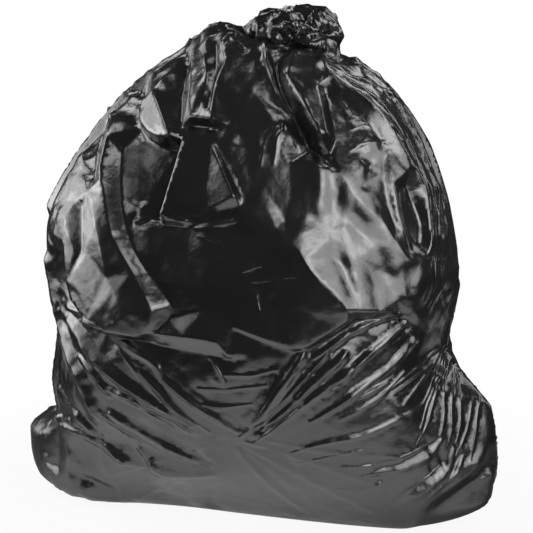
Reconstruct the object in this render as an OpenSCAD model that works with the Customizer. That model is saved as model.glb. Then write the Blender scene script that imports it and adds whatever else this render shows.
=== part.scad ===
/* [Sack] */
// Height from the floor to the top of the knot, mm
sack_height = 688; // [500:1:900]
// Width of the filled body, left to right, mm
body_width = 560; // [440:1:720]
// Depth of the filled body, front to back, mm
body_depth = 366; // [280:1:480]
// How far the neck leans to the left of the base, mm
lean_left = 26; // [0:1:60]

/* [Ears] */
// Reach of the right bottom corner of the film beyond the body, mm
right_ear_reach = 52; // [20:1:90]
// Lift of the right corner above the floor, mm
right_ear_lift = 36; // [0:1:50]
// Reach of the left bottom corner beyond the body, mm
left_ear_reach = 70; // [20:1:100]
// How far the lower left corner of the base comes forward, mm
left_toe = 38; // [0:1:60]

/* [Neck and knot] */
// Height of the tied knot above the neck, mm
knot_height = 50; // [30:1:80]
// Width of the knot, mm
knot_width = 130; // [80:1:180]
// Depth of the knot, front to back, mm
knot_depth = 72; // [44:1:110]
// How far the knot sits right of the base's middle, mm
knot_shift = 42; // [0:1:70]
// Depth of the twist grooves in the knot, mm
knot_groove = 5; // [2:0.5:12]
// Rise of the film left of the knot, mm
hump_rise = 20; // [0:1:40]
// Number of gathers that run down from the tied neck
neck_gathers = 26; // [12:1:36]
// Height of the gathers at the neck, mm
gather_depth = 4.5; // [2:0.5:12]

/* [Folds] */
// Height of the creases of the front, times their drawn height
crease_height = 1; // [0.4:0.05:1.3]
// Height of the folds that fan out over the lower front, times their drawn height
fan_height = 1; // [0.4:0.05:1.4]
// Height of the folds that run from the right ear, times their drawn height
ear_fold_height = 1; // [0.4:0.05:1.4]
// Height of the drapes down the two sides, mm
drape_depth = 8.5; // [3:0.5:14]
// Height of the folds over the lower sides, mm
low_fold_depth = 6.5; // [3:0.5:14]

/* [Hidden] */
film_colour = [0.05, 0.05, 0.055];

neck_z = sack_height - knot_height;
kf = min(body_width / 560, sack_height / 688);

// Rings of the filled body: height as a share of the neck's height, shift, half width as a share of
// body_width, front and back half depth as shares of body_depth, squareness
BODY = [
  [0, 0, 0.0002, 0.0003, 0.0003, 2],
  [0, 0.10, 0.290, 0.110, 0.160, 3.5],
  [0.005, 0.05, 0.443, 0.160, 0.250, 4.5],
  [0.047, -0.15, 0.486, 0.245, 0.370, 3.6],
  [0.144, -0.3, 0.500, 0.385, 0.452, 2.6],
  [0.260, -0.65, 0.500, 0.462, 0.489, 2.3],
  [0.376, -0.9, 0.478, 0.500, 0.500, 2.2],
  [0.494, -1.0, 0.499, 0.500, 0.500, 2.1],
  [0.608, -1.12, 0.497, 0.478, 0.478, 2.1],
  [0.718, -0.75, 0.449, 0.432, 0.432, 2.1],
  [0.818, -0.3, 0.384, 0.366, 0.366, 2.1],
  [0.903, -0.05, 0.308, 0.285, 0.285, 2.1],
  [0.962, 0.2, 0.222, 0.200, 0.200, 2],
  [1, 0.6, 0.150, 0.130, 0.130, 2]
];
// Rings of the knot: height as a share of knot_height, share of knot_shift, half width as a share of
// knot_width, half depth as a share of knot_depth
KNOT = [
  [0.06, 1.00, 0.40, 0.40],
  [0.33, 0.90, 0.50, 0.50],
  [0.66, 0.80, 0.42, 0.46],
  [0.92, 0.75, 0.23, 0.26],
  [1, 0.75, 0.001, 0.001]
];
// Lift of the left side of each ring, which makes the hump beside the knot
LIFT = [0, 0, 0, 0, 0, 0, 0, 0, 0, 0, 0, 0.1, 0.25, 1, 0.25, -0.1, -0.45, -0.3, 0];

ROWS = concat(
  [for (r = BODY) [r[0] * neck_z, r[1] * lean_left, r[2] * body_width, r[3] * body_depth,
    r[4] * body_depth, r[5]]],
  [for (r = KNOT) [neck_z + r[0] * knot_height, r[1] * knot_shift, r[2] * knot_width,
    r[3] * knot_depth, r[3] * knot_depth, 2]]
);
LAST = len(ROWS) - 1;

// The photograph's frame and viewing angle, for a sack of the nominal size
PHOTO_SIZE = 533;
AZIMUTH = 18;
ELEVATION = 14;
DISTANCE = 2600;
AIM_HEIGHT = 338;
MM_PER_PIXEL = 1.351;

// Creases read off the photograph: each point is [across, down] in pixels and a height in millimetres
bulge_peak = [[61, 187, 2], [84, 140, 16], [106, 120, 12], [130, 97, 8]];
bulge_outer_edge = [[84, 140, 16], [72, 172, 13], [58.6, 206.5, 10], [75.5, 221, 17]];
bulge_inner_edge = [[84, 140, 16], [90, 164, 13], [89, 176, 9], [103, 215, 20], [110, 249, 19],
  [114, 275, 17]];
pleat = [[120, 108, 10], [118, 120, 13], [111, 172, 22], [113, 193, 19], [118, 231, 15],
  [124, 248, 14], [158, 308, 16], [148, 331, 18]];
pleat_valley = [[106, 128, -6], [99, 176, -4]];
bulge_foot = [[75.5, 221, 17], [72.5, 245, 14], [76, 283, 16], [81, 297, 18], [97, 319, 21],
  [115, 328, 23], [141, 333, 20], [148, 331, 18]];
bulge_knee = [[114, 275, 17], [97, 319, 21]];
bulge_knee_right = [[114, 275, 17], [125, 289, 18], [141, 309, 19], [147, 331, 18]];
bulge_slot = [[86.5, 206, 7], [87, 252, 9]];
bulge_slot_left = [[82, 204, 11], [82, 253, 13]];
bulge_slot_right = [[91.5, 204, 10], [92, 252, 13]];
bulge_left_edge = [[45, 211, 5], [50, 231, 3], [58, 252, -3]];
bulge_left_fall = [[62, 262, -8], [64, 285, -8], [72, 305, -6]];
bulge_underside = [[86, 318, -4], [100, 331, -6], [118, 340, -6], [148, 343, -6], [168, 318, -6]];
left_of_middle = [[121, 150, -13], [119, 178, -13], [120, 205, -13], [126, 232, -12], [137, 258, -8],
  [170, 305, -4]];
shoulder_crest = [[177, 68, 5], [157, 93, 10], [175, 138, 18], [190, 144, 24], [203, 146, 19],
  [215.5, 149, 17]];
facet_left = [[157, 93, 10], [144, 103, 5], [140, 115, 3], [150, 132, 6], [169, 140.5, 13],
  [175, 138, 18]];
facet_drop = [[190, 144, 24], [162, 215, 8]];
facet_tail = [[138.5, 164, -13], [149.5, 184.5, -13], [149.5, 199, -13], [157, 214, -12]];
facet_edge = [[141, 97, -8], [134, 115, -11], [145, 137, -13], [166, 147, -12], [182, 151, -11]];
facet_drop_foot = [[183, 149, -11], [156, 213, -12]];
facet_foot = [[130, 221, -12], [138.5, 209, -4], [162, 215, 8], [174, 219, 5], [184, 220, 2]];
facet_underside = [[134, 228, -10], [162, 224, -7], [186, 227, -3]];
cone_left = [[215.5, 149, 17], [200, 190, 9], [196, 211, 4]];
cone_right = [[215.5, 149, 17], [228, 175, 3], [238, 198, -4]];
cone_foot = [[196, 211, 4], [200, 224, -2], [215, 232, -3], [228, 232, -4]];
hump_rim = [[184, 52, 2], [196, 42, 6], [213, 26, 10], [225, 26, 6], [241, 29, 0]];
hump_fold_left = [[209, 32, 9], [208, 63, 10], [210, 84, 9], [203, 100, 5]];
hump_fold_right = [[225, 46, 9], [228, 66, 12], [218, 90, 12], [213, 122, 12]];
hump_valley = [[218, 44, 1], [217, 66, 0], [211, 98, 0]];
hump_side = [[205, 35, 3], [193, 67, 4], [191, 93, 6], [184, 130, 6]];
hump_side_valley = [[188, 62, -6], [180, 95, -8], [181, 122, -2]];
hump_step = [[193, 119, 8], [212, 122, 12]];
hump_step_underside = [[193, 125, 0], [213, 128, 1]];
tongue_left_fall = [[276, 62, -5], [280, 85, -8], [296, 118, -13], [311, 148, -13], [322, 155, -11]];
tongue_crest = [[294, 58, 10], [287, 81, 12], [303, 108, 21], [319, 137, 22]];
tongue_right_edge = [[309, 50, 9], [313, 72, 8], [317, 90, 10], [325, 137, 14], [319, 146, 10]];
tongue_right_fall = [[325, 92, -1], [331, 115, -2], [336, 140, -2], [331, 154, -3]];
sweep = [[309, 50, 9], [315, 55, 12], [323, 77, 15], [347, 93, 14], [376, 119, 14], [390, 137, 13],
  [398, 149, 11], [422, 187, 9]];
sweep_underside = [[330, 92, 1], [345, 105, 1], [372, 130, 2], [388, 153, 3]];
pocket_notch = [[388, 158, 8], [395, 179, 6], [406, 173, 10], [404, 158, 12]];
pocket_slot = [[408, 180, -6], [416, 200, -8], [424, 222, -4]];
pocket_lens = [[402, 190, -4], [407, 215, -7], [418, 245, -6]];
pocket_inner_ridge = [[394, 182, 3], [396, 195, 4], [404, 224, 4], [412, 255, 4]];
pocket_groove = [[389, 160, 0], [388, 181, 0], [395, 221, 1]];
pocket_rim = [[388.8, 227, 5], [399.5, 245.5, 7], [408.7, 261, 8], [416, 266, 8], [422.5, 258, 8],
  [425.5, 226, 8], [422, 187, 9]];
patch_ridge = [[334, 157, 0], [341, 172, 3], [355, 198, 4], [380, 216, 4], [388.8, 227, 5]];
patch_finger = [[317, 152, 6], [320, 185, 8], [319, 207, 6]];
patch_finger_side = [[327, 160, 4], [332, 190, 0], [334, 218, -2]];
patch_hollow = [[338, 186, -2], [341, 206, -5], [352, 218, -6], [367, 236, -6], [378, 258, -4],
  [372, 293, -2]];
patch_lump = [[352, 262, 3], [360, 280, 5], [366, 297, 3]];
patch_lump_right = [[385, 255, 3], [388, 285, 4], [395, 301, 4]];
patch_crease = [[277, 229, 4], [298.5, 250, 10], [311, 270, 12], [331, 290, 13], [346, 308, 14],
  [347.5, 319, 6]];
patch_shelf = [[290, 231, 3], [323, 236, 0], [335, 253, 0], [345, 275, 2]];
lobe_rim = [[225, 324, 1], [260, 337, 2], [298.5, 348, 4], [317, 339, 5], [346, 320, 7]];
lobe_underside = [[235, 331, -1], [262, 342, -2], [300, 353, -3], [322, 344, -5], [350, 328, -7]];
lobe_belly = [[262, 245, 2], [285, 285, 4], [305, 315, 6]];
patch_hem = [[347.5, 311, 10], [381, 311, 8], [395, 301, 5], [405, 308, 5]];
patch_hem_underside = [[356, 322, -6], [380, 320, -7], [404, 318, -6]];
patch_side = [[428, 262, 6], [425, 275, 5], [415, 293, 3], [410, 312, 0]];
waist_rim = [[149, 331, 8], [185, 336, 7], [218, 342, 7], [229, 356, 3]];
waist_underside = [[116, 338, -6], [177, 350.5, -6], [196, 354, -6], [230, 360, -4]];
left_ear_tuck = [[44, 460, 4], [59, 483, 6], [76, 488, 7], [111, 498, 5], [140, 502, 3]];
left_ear_valley = [[57.5, 462, -3], [85, 474, -4], [114, 487, -2]];
left_ear_top = [[62, 458, 3], [88, 470, 4], [118, 485, 2]];
right_ear_valley = [[486, 455, -6], [473, 474, -10], [449, 491, -12], [419, 513, -8]];
right_ear_flap = [[481, 467, 2], [473, 484, -2], [494, 499, 4]];
knot_twist = [[293, 39.3, 4], [304, 26, 7], [314.7, 13.3, 5]];
knot_roll = [[287.3, 42, 4], [311, 38.5, 7], [334.3, 35.8, 6]];
knot_wedge = [[250, 24.6, 3], [275, 20, 6], [300, 14, 5], [315, 11, 4]];
knot_wedge_low = [[262, 27, 3], [285, 25.5, 5], [300, 21, 4], [310, 16, 3]];
knot_end = [[325, 14, 4], [322, 24, 5], [318, 31, 2]];
knot_side = [[334, 27, 4], [341, 38, 5], [343, 46, 3]];
knot_valley_left = [[258, 26, -3], [290, 21, -4], [306, 15, -4]];
knot_valley_middle = [[289, 36, -4], [300, 28, -5], [312, 20, -5]];
knot_valley_right = [[300, 36, -5], [325, 31, -6], [336, 31, -4]];
knot_valley_low = [[290, 44, -5], [315, 43, -6], [340, 42, -4]];
CREASES = [
  bulge_peak, bulge_outer_edge, bulge_inner_edge, pleat, pleat_valley, bulge_foot, bulge_knee,
  bulge_knee_right, bulge_slot, bulge_slot_left, bulge_slot_right, bulge_left_edge, bulge_left_fall,
  bulge_underside, left_of_middle, shoulder_crest, facet_left, facet_drop, facet_tail, facet_edge,
  facet_drop_foot, facet_foot, facet_underside, cone_left, cone_right, cone_foot, hump_rim,
  hump_fold_left, hump_fold_right, hump_valley, hump_side, hump_side_valley, hump_step,
  hump_step_underside, tongue_left_fall, tongue_crest, tongue_right_edge, tongue_right_fall, sweep,
  sweep_underside, pocket_notch, pocket_slot, pocket_lens, pocket_inner_ridge, pocket_groove,
  pocket_rim, patch_ridge, patch_finger, patch_finger_side, patch_hollow, patch_lump, patch_lump_right,
  patch_crease, patch_shelf, lobe_rim, lobe_underside, lobe_belly, patch_hem, patch_hem_underside,
  patch_side, waist_rim, waist_underside, left_ear_tuck, left_ear_valley, left_ear_top,
  right_ear_valley, right_ear_flap, knot_twist, knot_roll, knot_wedge, knot_wedge_low, knot_end,
  knot_side, knot_valley_left, knot_valley_middle, knot_valley_right, knot_valley_low
];

// Wide folds read off the photograph: half width in millimetres, then points as above
middle_ridge_fold = [9, [[258.6, 25, 7], [264, 46, 8], [270, 69, 7], [278, 91, 4], [290, 112, 1]]];
below_bulge_fold = [9, [[66, 307.6, 7], [97, 321, 9], [122, 343.6, 10], [157, 365, 10],
  [161.6, 375.7, 4]]];
long_left_fold = [13, [[60, 310, 6], [80, 336, 9], [91, 353, 10], [122, 382, 10], [162, 408, 7],
  [192, 426, 3]]];
left_bright_fold = [12, [[60, 322, 5], [70, 352, 9], [80.5, 376, 10], [96, 412, 8]]];
left_low_1_fold = [8, [[53, 372, 5], [65, 400, 7], [83.6, 421.6, 7], [97.4, 434.6, 4]]];
left_low_2_fold = [8, [[60.6, 420, 5], [97.4, 440, 7], [117, 453.8, 7], [160, 469, 4]]];
left_fan_1_fold = [11, [[112, 412, 5], [150, 438, 10], [185, 456, 8], [211, 465, 3]]];
left_fan_2_fold = [9, [[140, 448, 5], [162, 466, 8], [212, 473, 3]]];
left_fan_3_fold = [9, [[100, 385, 4], [125, 396, 7], [162, 413, 7], [190, 432, 3]]];
left_fan_4_fold = [8, [[140, 372, 4], [152.5, 383, 6], [174, 407, 6], [196, 425, 3]]];
left_fan_5_fold = [8, [[163, 379, 4], [192, 402, 6], [220, 420, 6], [238, 432, 3]]];
left_fan_6_fold = [8, [[80, 356, 4], [98, 378, 6], [110, 395, 5]]];
right_fan_1_fold = [13, [[304, 353, 8], [293, 372, 12], [278, 392, 12], [259.6, 419, 9], [240, 437, 3]]];
right_fan_2_fold = [10, [[346, 352, 7], [333, 367, 10], [310.6, 386, 10], [290, 408, 8], [262, 430, 4]]];
right_fan_3_fold = [9, [[374, 350, 6], [355, 367, 9], [339, 380, 9], [314, 397, 9], [280, 424, 6],
  [253, 443, 2]]];
right_fan_4_fold = [9, [[387, 370, 6], [362, 388, 8], [339, 405, 6], [310, 422, 3]]];
waist_1_fold = [8, [[401, 315, 6], [378, 322, 7], [355, 332, 8], [314, 359, 5]]];
waist_2_fold = [8, [[409, 324, 6], [395, 334, 9], [377.5, 348, 8], [352, 366, 4]]];
waist_3_fold = [9, [[416, 340, 7], [400, 356, 8], [387, 370, 5]]];
ear_bright_1_fold = [10, [[441, 440, 4], [430, 455, 9], [409, 466, 9], [385, 472, 6.5],
  [361.6, 477, 3]]];
ear_bright_2_fold = [11, [[454, 448, 4], [447.7, 469, 10], [432, 482, 10.5], [417, 493, 10],
  [384, 512, 3]]];
ear_bright_3_fold = [8, [[462, 458, 5], [455.7, 472, 9], [428.6, 493, 5]]];
FAN_FOLDS = [
  below_bulge_fold, long_left_fold, left_bright_fold, left_low_1_fold, left_low_2_fold,
  left_fan_1_fold, left_fan_2_fold, left_fan_3_fold, left_fan_4_fold, left_fan_5_fold, left_fan_6_fold,
  right_fan_1_fold, right_fan_2_fold, right_fan_3_fold, right_fan_4_fold, waist_1_fold, waist_2_fold,
  waist_3_fold
];
EAR_FOLDS = [
  ear_bright_1_fold, ear_bright_2_fold, ear_bright_3_fold
];
OTHER_FOLDS = [
  middle_ridge_fold
];

function clamp(x, lo, hi) = min(max(x, lo), hi);
function ramp(x, lo, hi) = let (u = clamp((x - lo) / (hi - lo), 0, 1)) u * u * (3 - 2 * u);
function power(x, e) = sign(x) * pow(abs(x), e);
function wrapped(w) = w - 360 * round(w / 360);
function sway(n) = sin(137 * n);
function wave(x) = abs(2 * (x - floor(x)) - 1) * 2 - 1;
function blend(a, b, c, d, u) = 0.5 * (2 * b + (c - a) * u + (2 * a - 5 * b + 4 * c - d) * u * u
  + (3 * b - a - 3 * c + d) * u * u * u);
function course(t) = let (i = clamp(floor(t), 0, LAST - 1), u = t - i)
  blend(ROWS[max(i - 1, 0)], ROWS[i], ROWS[i + 1], ROWS[min(i + 2, LAST)], u);
function lift_at(t) = let (i = clamp(floor(t), 0, LAST - 1), u = t - i)
  hump_rise * kf * blend(LIFT[max(i - 1, 0)], LIFT[i], LIFT[i + 1], LIFT[min(i + 2, LAST)], u);

// One point of the smooth filled shape: w is the angle round the sack (0 right, -90 front), t the ring
function skin(w, t, r, lift) = let (
  c = cos(w),
  q = sin(w),
  a = wrapped(w),
  z = max(r[0], 0),
  s = z / neck_z,
  right = pow(max(1 - abs(a) / 26, 0), 1.5),
  left = pow(max(1 - (180 - abs(a)) / 34, 0), 1.4),
  raised = max(1 - abs(a) / 36, 0),
  edge = ramp(t, 1, 2.6),
  foot = ramp(t, 1.2, 3) * (1 - ramp(s, 0.05, 0.17)),
  x = r[1] + r[2] * power(c, 2 / min(r[5], 2.4)) + right_ear_reach * right * (1 - ramp(s, 0.256, 0.402)) * edge
    - left_ear_reach * left * (1 - ramp(s, 0.115, 0.205)) * edge,
  toe = left_toe * ramp(1 - abs(wrapped(w + 150)) / 46, 0, 1) * (1 - ramp(s, 0.02, 0.16)) * edge,
  y = (q < 0 ? r[3] : r[4]) * power(q, 2 / r[5]) - toe
) [x, y, max(z + lift * -c + right_ear_lift * raised * foot, 0)];

// Angles: close steps round the front, wider ones round the back
FRONT_STEPS = 68;
BACK_STEPS = 40;
ANGLES = concat(
  [for (i = [0:FRONT_STEPS - 1]) -184 + 188 * i / FRONT_STEPS],
  [for (i = [0:BACK_STEPS - 1]) 4 + 172 * i / BACK_STEPS]
);
NA = len(ANGLES);
RINGS_IN = [1, 1, 2, 3, 5, 5, 5, 5, 5, 5, 4, 3, 2, 2, 2, 2, 2, 1];
COURSES = [for (i = [0:len(RINGS_IN) - 1]) for (j = [0:RINGS_IN[i] - 1]) i + j / RINGS_IN[i]];
LEVELS = [for (t = COURSES) if (t > 0.5) t];
NL = len(LEVELS);

SMOOTH = [for (t = LEVELS) let (r = course(t), l = lift_at(t)) [for (w = ANGLES) skin(w, t, r, l)]];

// A camera: the direction back to it, and its right and up
function camera(azimuth) = let (
  back = [sin(azimuth) * cos(ELEVATION), -cos(azimuth) * cos(ELEVATION), sin(ELEVATION)],
  right = [cos(azimuth), sin(azimuth), 0]
) [back, right, cross(back, right)];
FRONT = camera(AZIMUTH);
BEHIND = camera(AZIMUTH + 180);
NOMINAL = [560 / body_width, 366 / body_depth, 688 / sack_height];

// Where a point of the film lies in the photograph, and how much it faces the camera
function seen_by(p, out, cam) = let (
  q = [p[0] * NOMINAL[0], p[1] * NOMINAL[1], p[2] * NOMINAL[2]],
  offset = q - [0, 0, AIM_HEIGHT] - cam[0] * DISTANCE,
  zoom = DISTANCE / (MM_PER_PIXEL * -(offset * cam[0]))
) [PHOTO_SIZE / 2 + zoom * (offset * cam[1]), PHOTO_SIZE / 2 - zoom * (offset * cam[2]),
  ramp(out * -offset / norm(offset), 0.10, 0.34)];
// The back repeats the drawing mirrored and swayed, so that it isn't an exact copy
function turned(v) = let (
  x = PHOTO_SIZE - v[0] + 16 * sin(0.76 * v[1] + 69),
  y = v[1] + 14 * sin(0.99 * x + 34)
) [x, y, v[2]];

// Distance to a line in the picture and the line's height there
function to_segment(p, a, b) = let (
  d = [b[0] - a[0], b[1] - a[1]],
  v = [p[0] - a[0], p[1] - a[1]],
  u = clamp(v * d / max(d * d, 0.01), 0, 1)
) [norm(v - d * u), a[2] + u * (b[2] - a[2])];
function nearer(list, k = 0, best = [1e9, 0]) = k >= len(list) ? best
  : nearer(list, k + 1, list[k][0] < best[0] ? list[k] : best);
function box(line, reach) = [min([for (p = line) p[0]]) - reach, max([for (p = line) p[0]]) + reach,
  min([for (p = line) p[1]]) - reach, max([for (p = line) p[1]]) + reach];
function inside(p, b) = p[0] > b[0] && p[0] < b[1] && p[1] > b[2] && p[1] < b[3];
function line_at(p, line) = nearer([for (i = [0:len(line) - 2]) to_segment(p, line[i], line[i + 1])]);

// Height between the creases: each counts less the farther it is, and bare film pulls to the smooth shape
CREASE_REACH = 34;
CREASE_BOXES = [for (line = CREASES) box(line, CREASE_REACH)];
BARE = pow(13, -2.5);
function crease_net(p) = let (
  near = [for (k = [0:len(CREASES) - 1]) if (inside(p, CREASE_BOXES[k])) line_at(p, CREASES[k])],
  weights = [for (n = near) 1 / (pow(n[0], 2.5) + 2)],
  total = len(near) == 0 ? 0 : weights * [for (n = near) 1]
) len(near) == 0 ? 0 : weights * [for (n = near) n[1]] / (total + BARE);

function fold_at(p, fold) = let (
  half = max(1.2 * fold[0], 16),
  n = inside(p, box(fold[1], half)) ? line_at(p, fold[1]) : [1e9, 0]
) pow(max(1 - n[0] * MM_PER_PIXEL / half, 0), 1.1) * n[1] * 0.9;
function folds_at(p) = max(concat([0], [for (f = FAN_FOLDS) fold_at(p, f) * fan_height],
  [for (f = EAR_FOLDS) fold_at(p, f) * ear_fold_height], [for (f = OTHER_FOLDS) fold_at(p, f) * crease_height]));
function drawn(p) = p[2] <= 0 ? 0 : (crease_net(p) * crease_height + folds_at(p)) * p[2];

// Folds given by angles and rings: half width, height and line
DRAPES = [for (side = [0, 1]) for (k = [0:8]) let (
  n = 9 * side + k,
  start = 18 - 180 * side + 7 * (k - 4) + 2 * sway(n),
  spread = (k - 4) * (3 + 2 * sway(n + 3))
) [15 + 4 * sway(n + 13), drape_depth * (k % 3 == 0 ? -1 : 1) * (1 + 0.3 * sway(n + 17)),
  [[start, 12.2], [start + 0.5 * spread + 3 * sway(n + 5), 10.3 + 0.7 * sway(n + 7)],
  [start + spread, 7.5 + 1.1 * sway(n + 11)]]]];
LOW_FOLDS = [for (side = [0, 1]) for (k = [0:7]) let (
  n = 9 * side + k,
  middle = 18 - 180 * side,
  slant = 5 * (k - 3.5)
) [13 + 3 * sway(n + 1), low_fold_depth * (k % 3 == 1 ? -1 : 1) * (1 + 0.3 * sway(n + 9)),
  [[middle + 0.5 * slant + 2 * sway(n + 2), 6.7 + 0.7 * sway(n + 4)],
  [middle + 1.3 * slant, 4.8 + 0.4 * sway(n + 6)],
  [middle + slant * (1.6 - 1.6 * (k % 2)) + 3 * sway(n + 8), 3.2 + 0.4 * sway(n + 10)]]]];
GATHERS = [for (k = [0:neck_gathers - 1]) let (start = -180 + 360 * (k + 0.3 * sway(k)) / neck_gathers)
  [9.5 + 2.5 * sway(k + 5), gather_depth * (1 + 0.3 * sway(k + 9)),
  [[start, 13.3], [start + 4 * sway(k + 2), 12 + 0.4 * sway(k + 4)],
  [start + 8 * sway(k + 6), 10.8 + 0.8 * sway(k + 8)]]]];

// Height of one such fold at a point, from the distance to its line in millimetres
function ring_fold(w, t, m, f) = let (
  line = f[2],
  last = len(line) - 1
) t < line[last][1] - 1.5 || t > line[0][1] + 1.5 || abs(wrapped(w - line[1][0])) > 60 ? 0 : let (
  near = nearer([for (i = [0:last - 1]) let (a = line[i], b = line[i + 1])
    to_segment([wrapped(w - a[0]) * m[0], (t - a[1]) * m[1]], [0, 0, 1],
    [(b[0] - a[0]) * m[0], (b[1] - a[1]) * m[1], 1])]),
  g = clamp(1 - (sqrt(near[0] * near[0] + 4) - 2) / (f[0] * kf), 0, 1)
) pow(g, 1.3) * f[1];
function ring_folds(w, t, m, folds) = let (hs = [for (f = folds) ring_fold(w, t, m, f)])
  max(max(hs), 0) + min(min(hs), 0);
function grooves(w, t) = let (near = ramp(t, 14, 14.8) * (1 - ramp(t, 17.2, 18)))
  knot_groove * near * (wave(w * 7 / 360 + 0.3 * (t - 14) + 0.15 * sin(2 * w)) - 0.2);

function shaped(i, j) = let (
  t = LEVELS[i],
  w = ANGLES[j],
  p = SMOOTH[i][j],
  east = SMOOTH[i][(j + 1) % NA] - SMOOTH[i][(j + NA - 1) % NA],
  north = SMOOTH[min(i + 1, NL - 1)][j] - SMOOTH[max(i - 1, 0)][j],
  n = cross(east, north),
  out = n / max(norm(n), 0.001),
  m = [norm(east) / max(abs(wrapped(ANGLES[(j + 1) % NA] - ANGLES[(j + NA - 1) % NA])), 0.1),
    norm(north) / (LEVELS[min(i + 1, NL - 1)] - LEVELS[max(i - 1, 0)])],
  front = seen_by(p, out, FRONT),
  behind = turned(seen_by(p, out, BEHIND)),
  unseen = (1 - front[2]) * (1 - behind[2]),
  fade = ramp(t, 1.6, 2.8) * (1 - ramp(t, 17, 17.8)),
  sides = unseen <= 0 ? 0 : (ring_folds(w, t, m, DRAPES) + ring_folds(w, t, m, LOW_FOLDS)) * unseen,
  h = ((drawn(front) + drawn(behind) + sides + ring_folds(w, t, m, GATHERS) * max(unseen, 0.25)) * fade
    + grooves(w, t)) * kf,
  d = p + out * h
) t < 1.9 ? [p[0], p[1], p[2], 0] : [d[0], d[1], max(d[2], 0), h];

FOLDED = [for (i = [0:NL - 1]) [for (j = [0:NA - 1]) shaped(i, j)]];
xs = [for (r = FOLDED) for (p = r) p[0]];
ys = [for (r = FOLDED) for (p = r) p[1]];
zs = [for (r = FOLDED) for (p = r) p[2]];
centre = [(max(xs) + min(xs)) / 2, (max(ys) + min(ys)) / 2, 0];
top_point = [knot_shift * 0.75, 0, max(max(zs) + 0.5, sack_height)];

module film_shell() {
  pts = concat([[centre[0], 0, 0]], [for (r = FOLDED) for (p = r) [p[0], p[1], p[2]]], [top_point]);
  last = len(pts) - 1;
  sides = [for (i = [0:NL - 2]) for (j = [0:NA - 1]) let (
    a = 1 + i * NA + j,
    b = 1 + i * NA + (j + 1) % NA,
    c = a + NA,
    d = b + NA,
    k = (j + 1) % NA,
    rising = abs(FOLDED[i][j][3] - FOLDED[i + 1][k][3]),
    falling = abs(FOLDED[i][k][3] - FOLDED[i + 1][j][3])
  ) each (rising < falling ? [[a, c, d], [a, d, b]] : [[a, c, b], [b, c, d]])];
  bottom = [for (j = [0:NA - 1]) [0, 1 + j, 1 + (j + 1) % NA]];
  top = [for (j = [0:NA - 1]) [last, 1 + (NL - 1) * NA + (j + 1) % NA, 1 + (NL - 1) * NA + j]];
  polyhedron(points = [for (p = pts) p - centre], faces = concat(bottom, sides, top), convexity = 10);
}

module refuse_sack() {
  color(film_colour) film_shell();
}

refuse_sack();
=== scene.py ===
"""A filled, tied refuse sack of thin glossy film, standing on a pale studio floor."""

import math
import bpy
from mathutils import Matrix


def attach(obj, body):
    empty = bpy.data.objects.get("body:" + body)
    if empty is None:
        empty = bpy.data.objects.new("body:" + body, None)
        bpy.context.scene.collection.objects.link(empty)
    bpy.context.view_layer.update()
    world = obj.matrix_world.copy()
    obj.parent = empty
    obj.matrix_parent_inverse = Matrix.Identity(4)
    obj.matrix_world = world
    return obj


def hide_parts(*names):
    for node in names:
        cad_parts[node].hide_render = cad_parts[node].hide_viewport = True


bl_info = {
    "name": "Refuse sack",
    "version": (1, 0, 0),
    "blender": (4, 2, 0),
    "location": "View3D > Sidebar > Sack",
    "description": "Makes a filled refuse sack of creased glossy film and the studio round it",
    "category": "Mesh",
}

import bpy
import numpy as np
from mathutils import Vector
from mathutils.geometry import delaunay_2d_cdt
from mathutils.kdtree import KDTree

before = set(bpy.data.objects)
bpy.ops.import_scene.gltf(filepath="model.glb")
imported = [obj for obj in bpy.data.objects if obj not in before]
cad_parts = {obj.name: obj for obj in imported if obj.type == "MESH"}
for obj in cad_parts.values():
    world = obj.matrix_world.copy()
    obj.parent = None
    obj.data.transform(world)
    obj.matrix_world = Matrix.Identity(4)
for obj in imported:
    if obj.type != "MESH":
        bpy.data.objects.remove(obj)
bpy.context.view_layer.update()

# Sizes below are in millimetres, as in the part's source, and become metres when the mesh is made
METRE = 1000.0
BODY_WIDTH = 560.0
BODY_DEPTH = 366.0
SACK_HEIGHT = 688.0
KNOT_HEIGHT = 50.0
KNOT_WIDTH = 130.0
KNOT_DEPTH = 72.0
KNOT_SHIFT = 42.0
LEAN_LEFT = 26.0
HUMP = 20.0
KNOT_GROOVE = 5.0
GATHER_DEPTH = 4.5
DRAPE_DEPTH = 8.5
LOW_FOLD_DEPTH = 6.5
NECK_Z = SACK_HEIGHT - KNOT_HEIGHT
ROUND = 2

# Corners of the base: how far they stand out, rise or come forward, how many degrees round the sack they
# reach, and the heights, as shares of the neck's height, between which they fade
RIGHT_EAR, RIGHT_EAR_TURN, RIGHT_EAR_FADE = 52.0, 26, (0.256, 0.402)
RIGHT_RISE, RIGHT_RISE_TURN, RIGHT_RISE_FADE = 36.0, 36, (0.05, 0.17)
LEFT_EAR, LEFT_EAR_TURN, LEFT_EAR_FADE = 70.0, 34, (0.115, 0.205)
LEFT_TOE, LEFT_TOE_TURN, LEFT_TOE_FADE = 38.0, 46, (0.02, 0.16)
LEFT_TOE_ANGLE = -150.0
# Rings between which the corners, and the rise of the right one, begin
CORNER_RINGS = (1, 2.6)
RISE_RINGS = (1.2, 3)

# The photograph's frame and viewing angle
PHOTO_SIZE = 533
SENSOR = 36.0
LENS = 130.0
AZIMUTH = 18.0
ELEVATION = 14.0
DISTANCE = 2600.0
AIM_HEIGHT = 338.0
MM_PER_PIXEL = DISTANCE * SENSOR / (LENS * PHOTO_SIZE)

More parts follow.
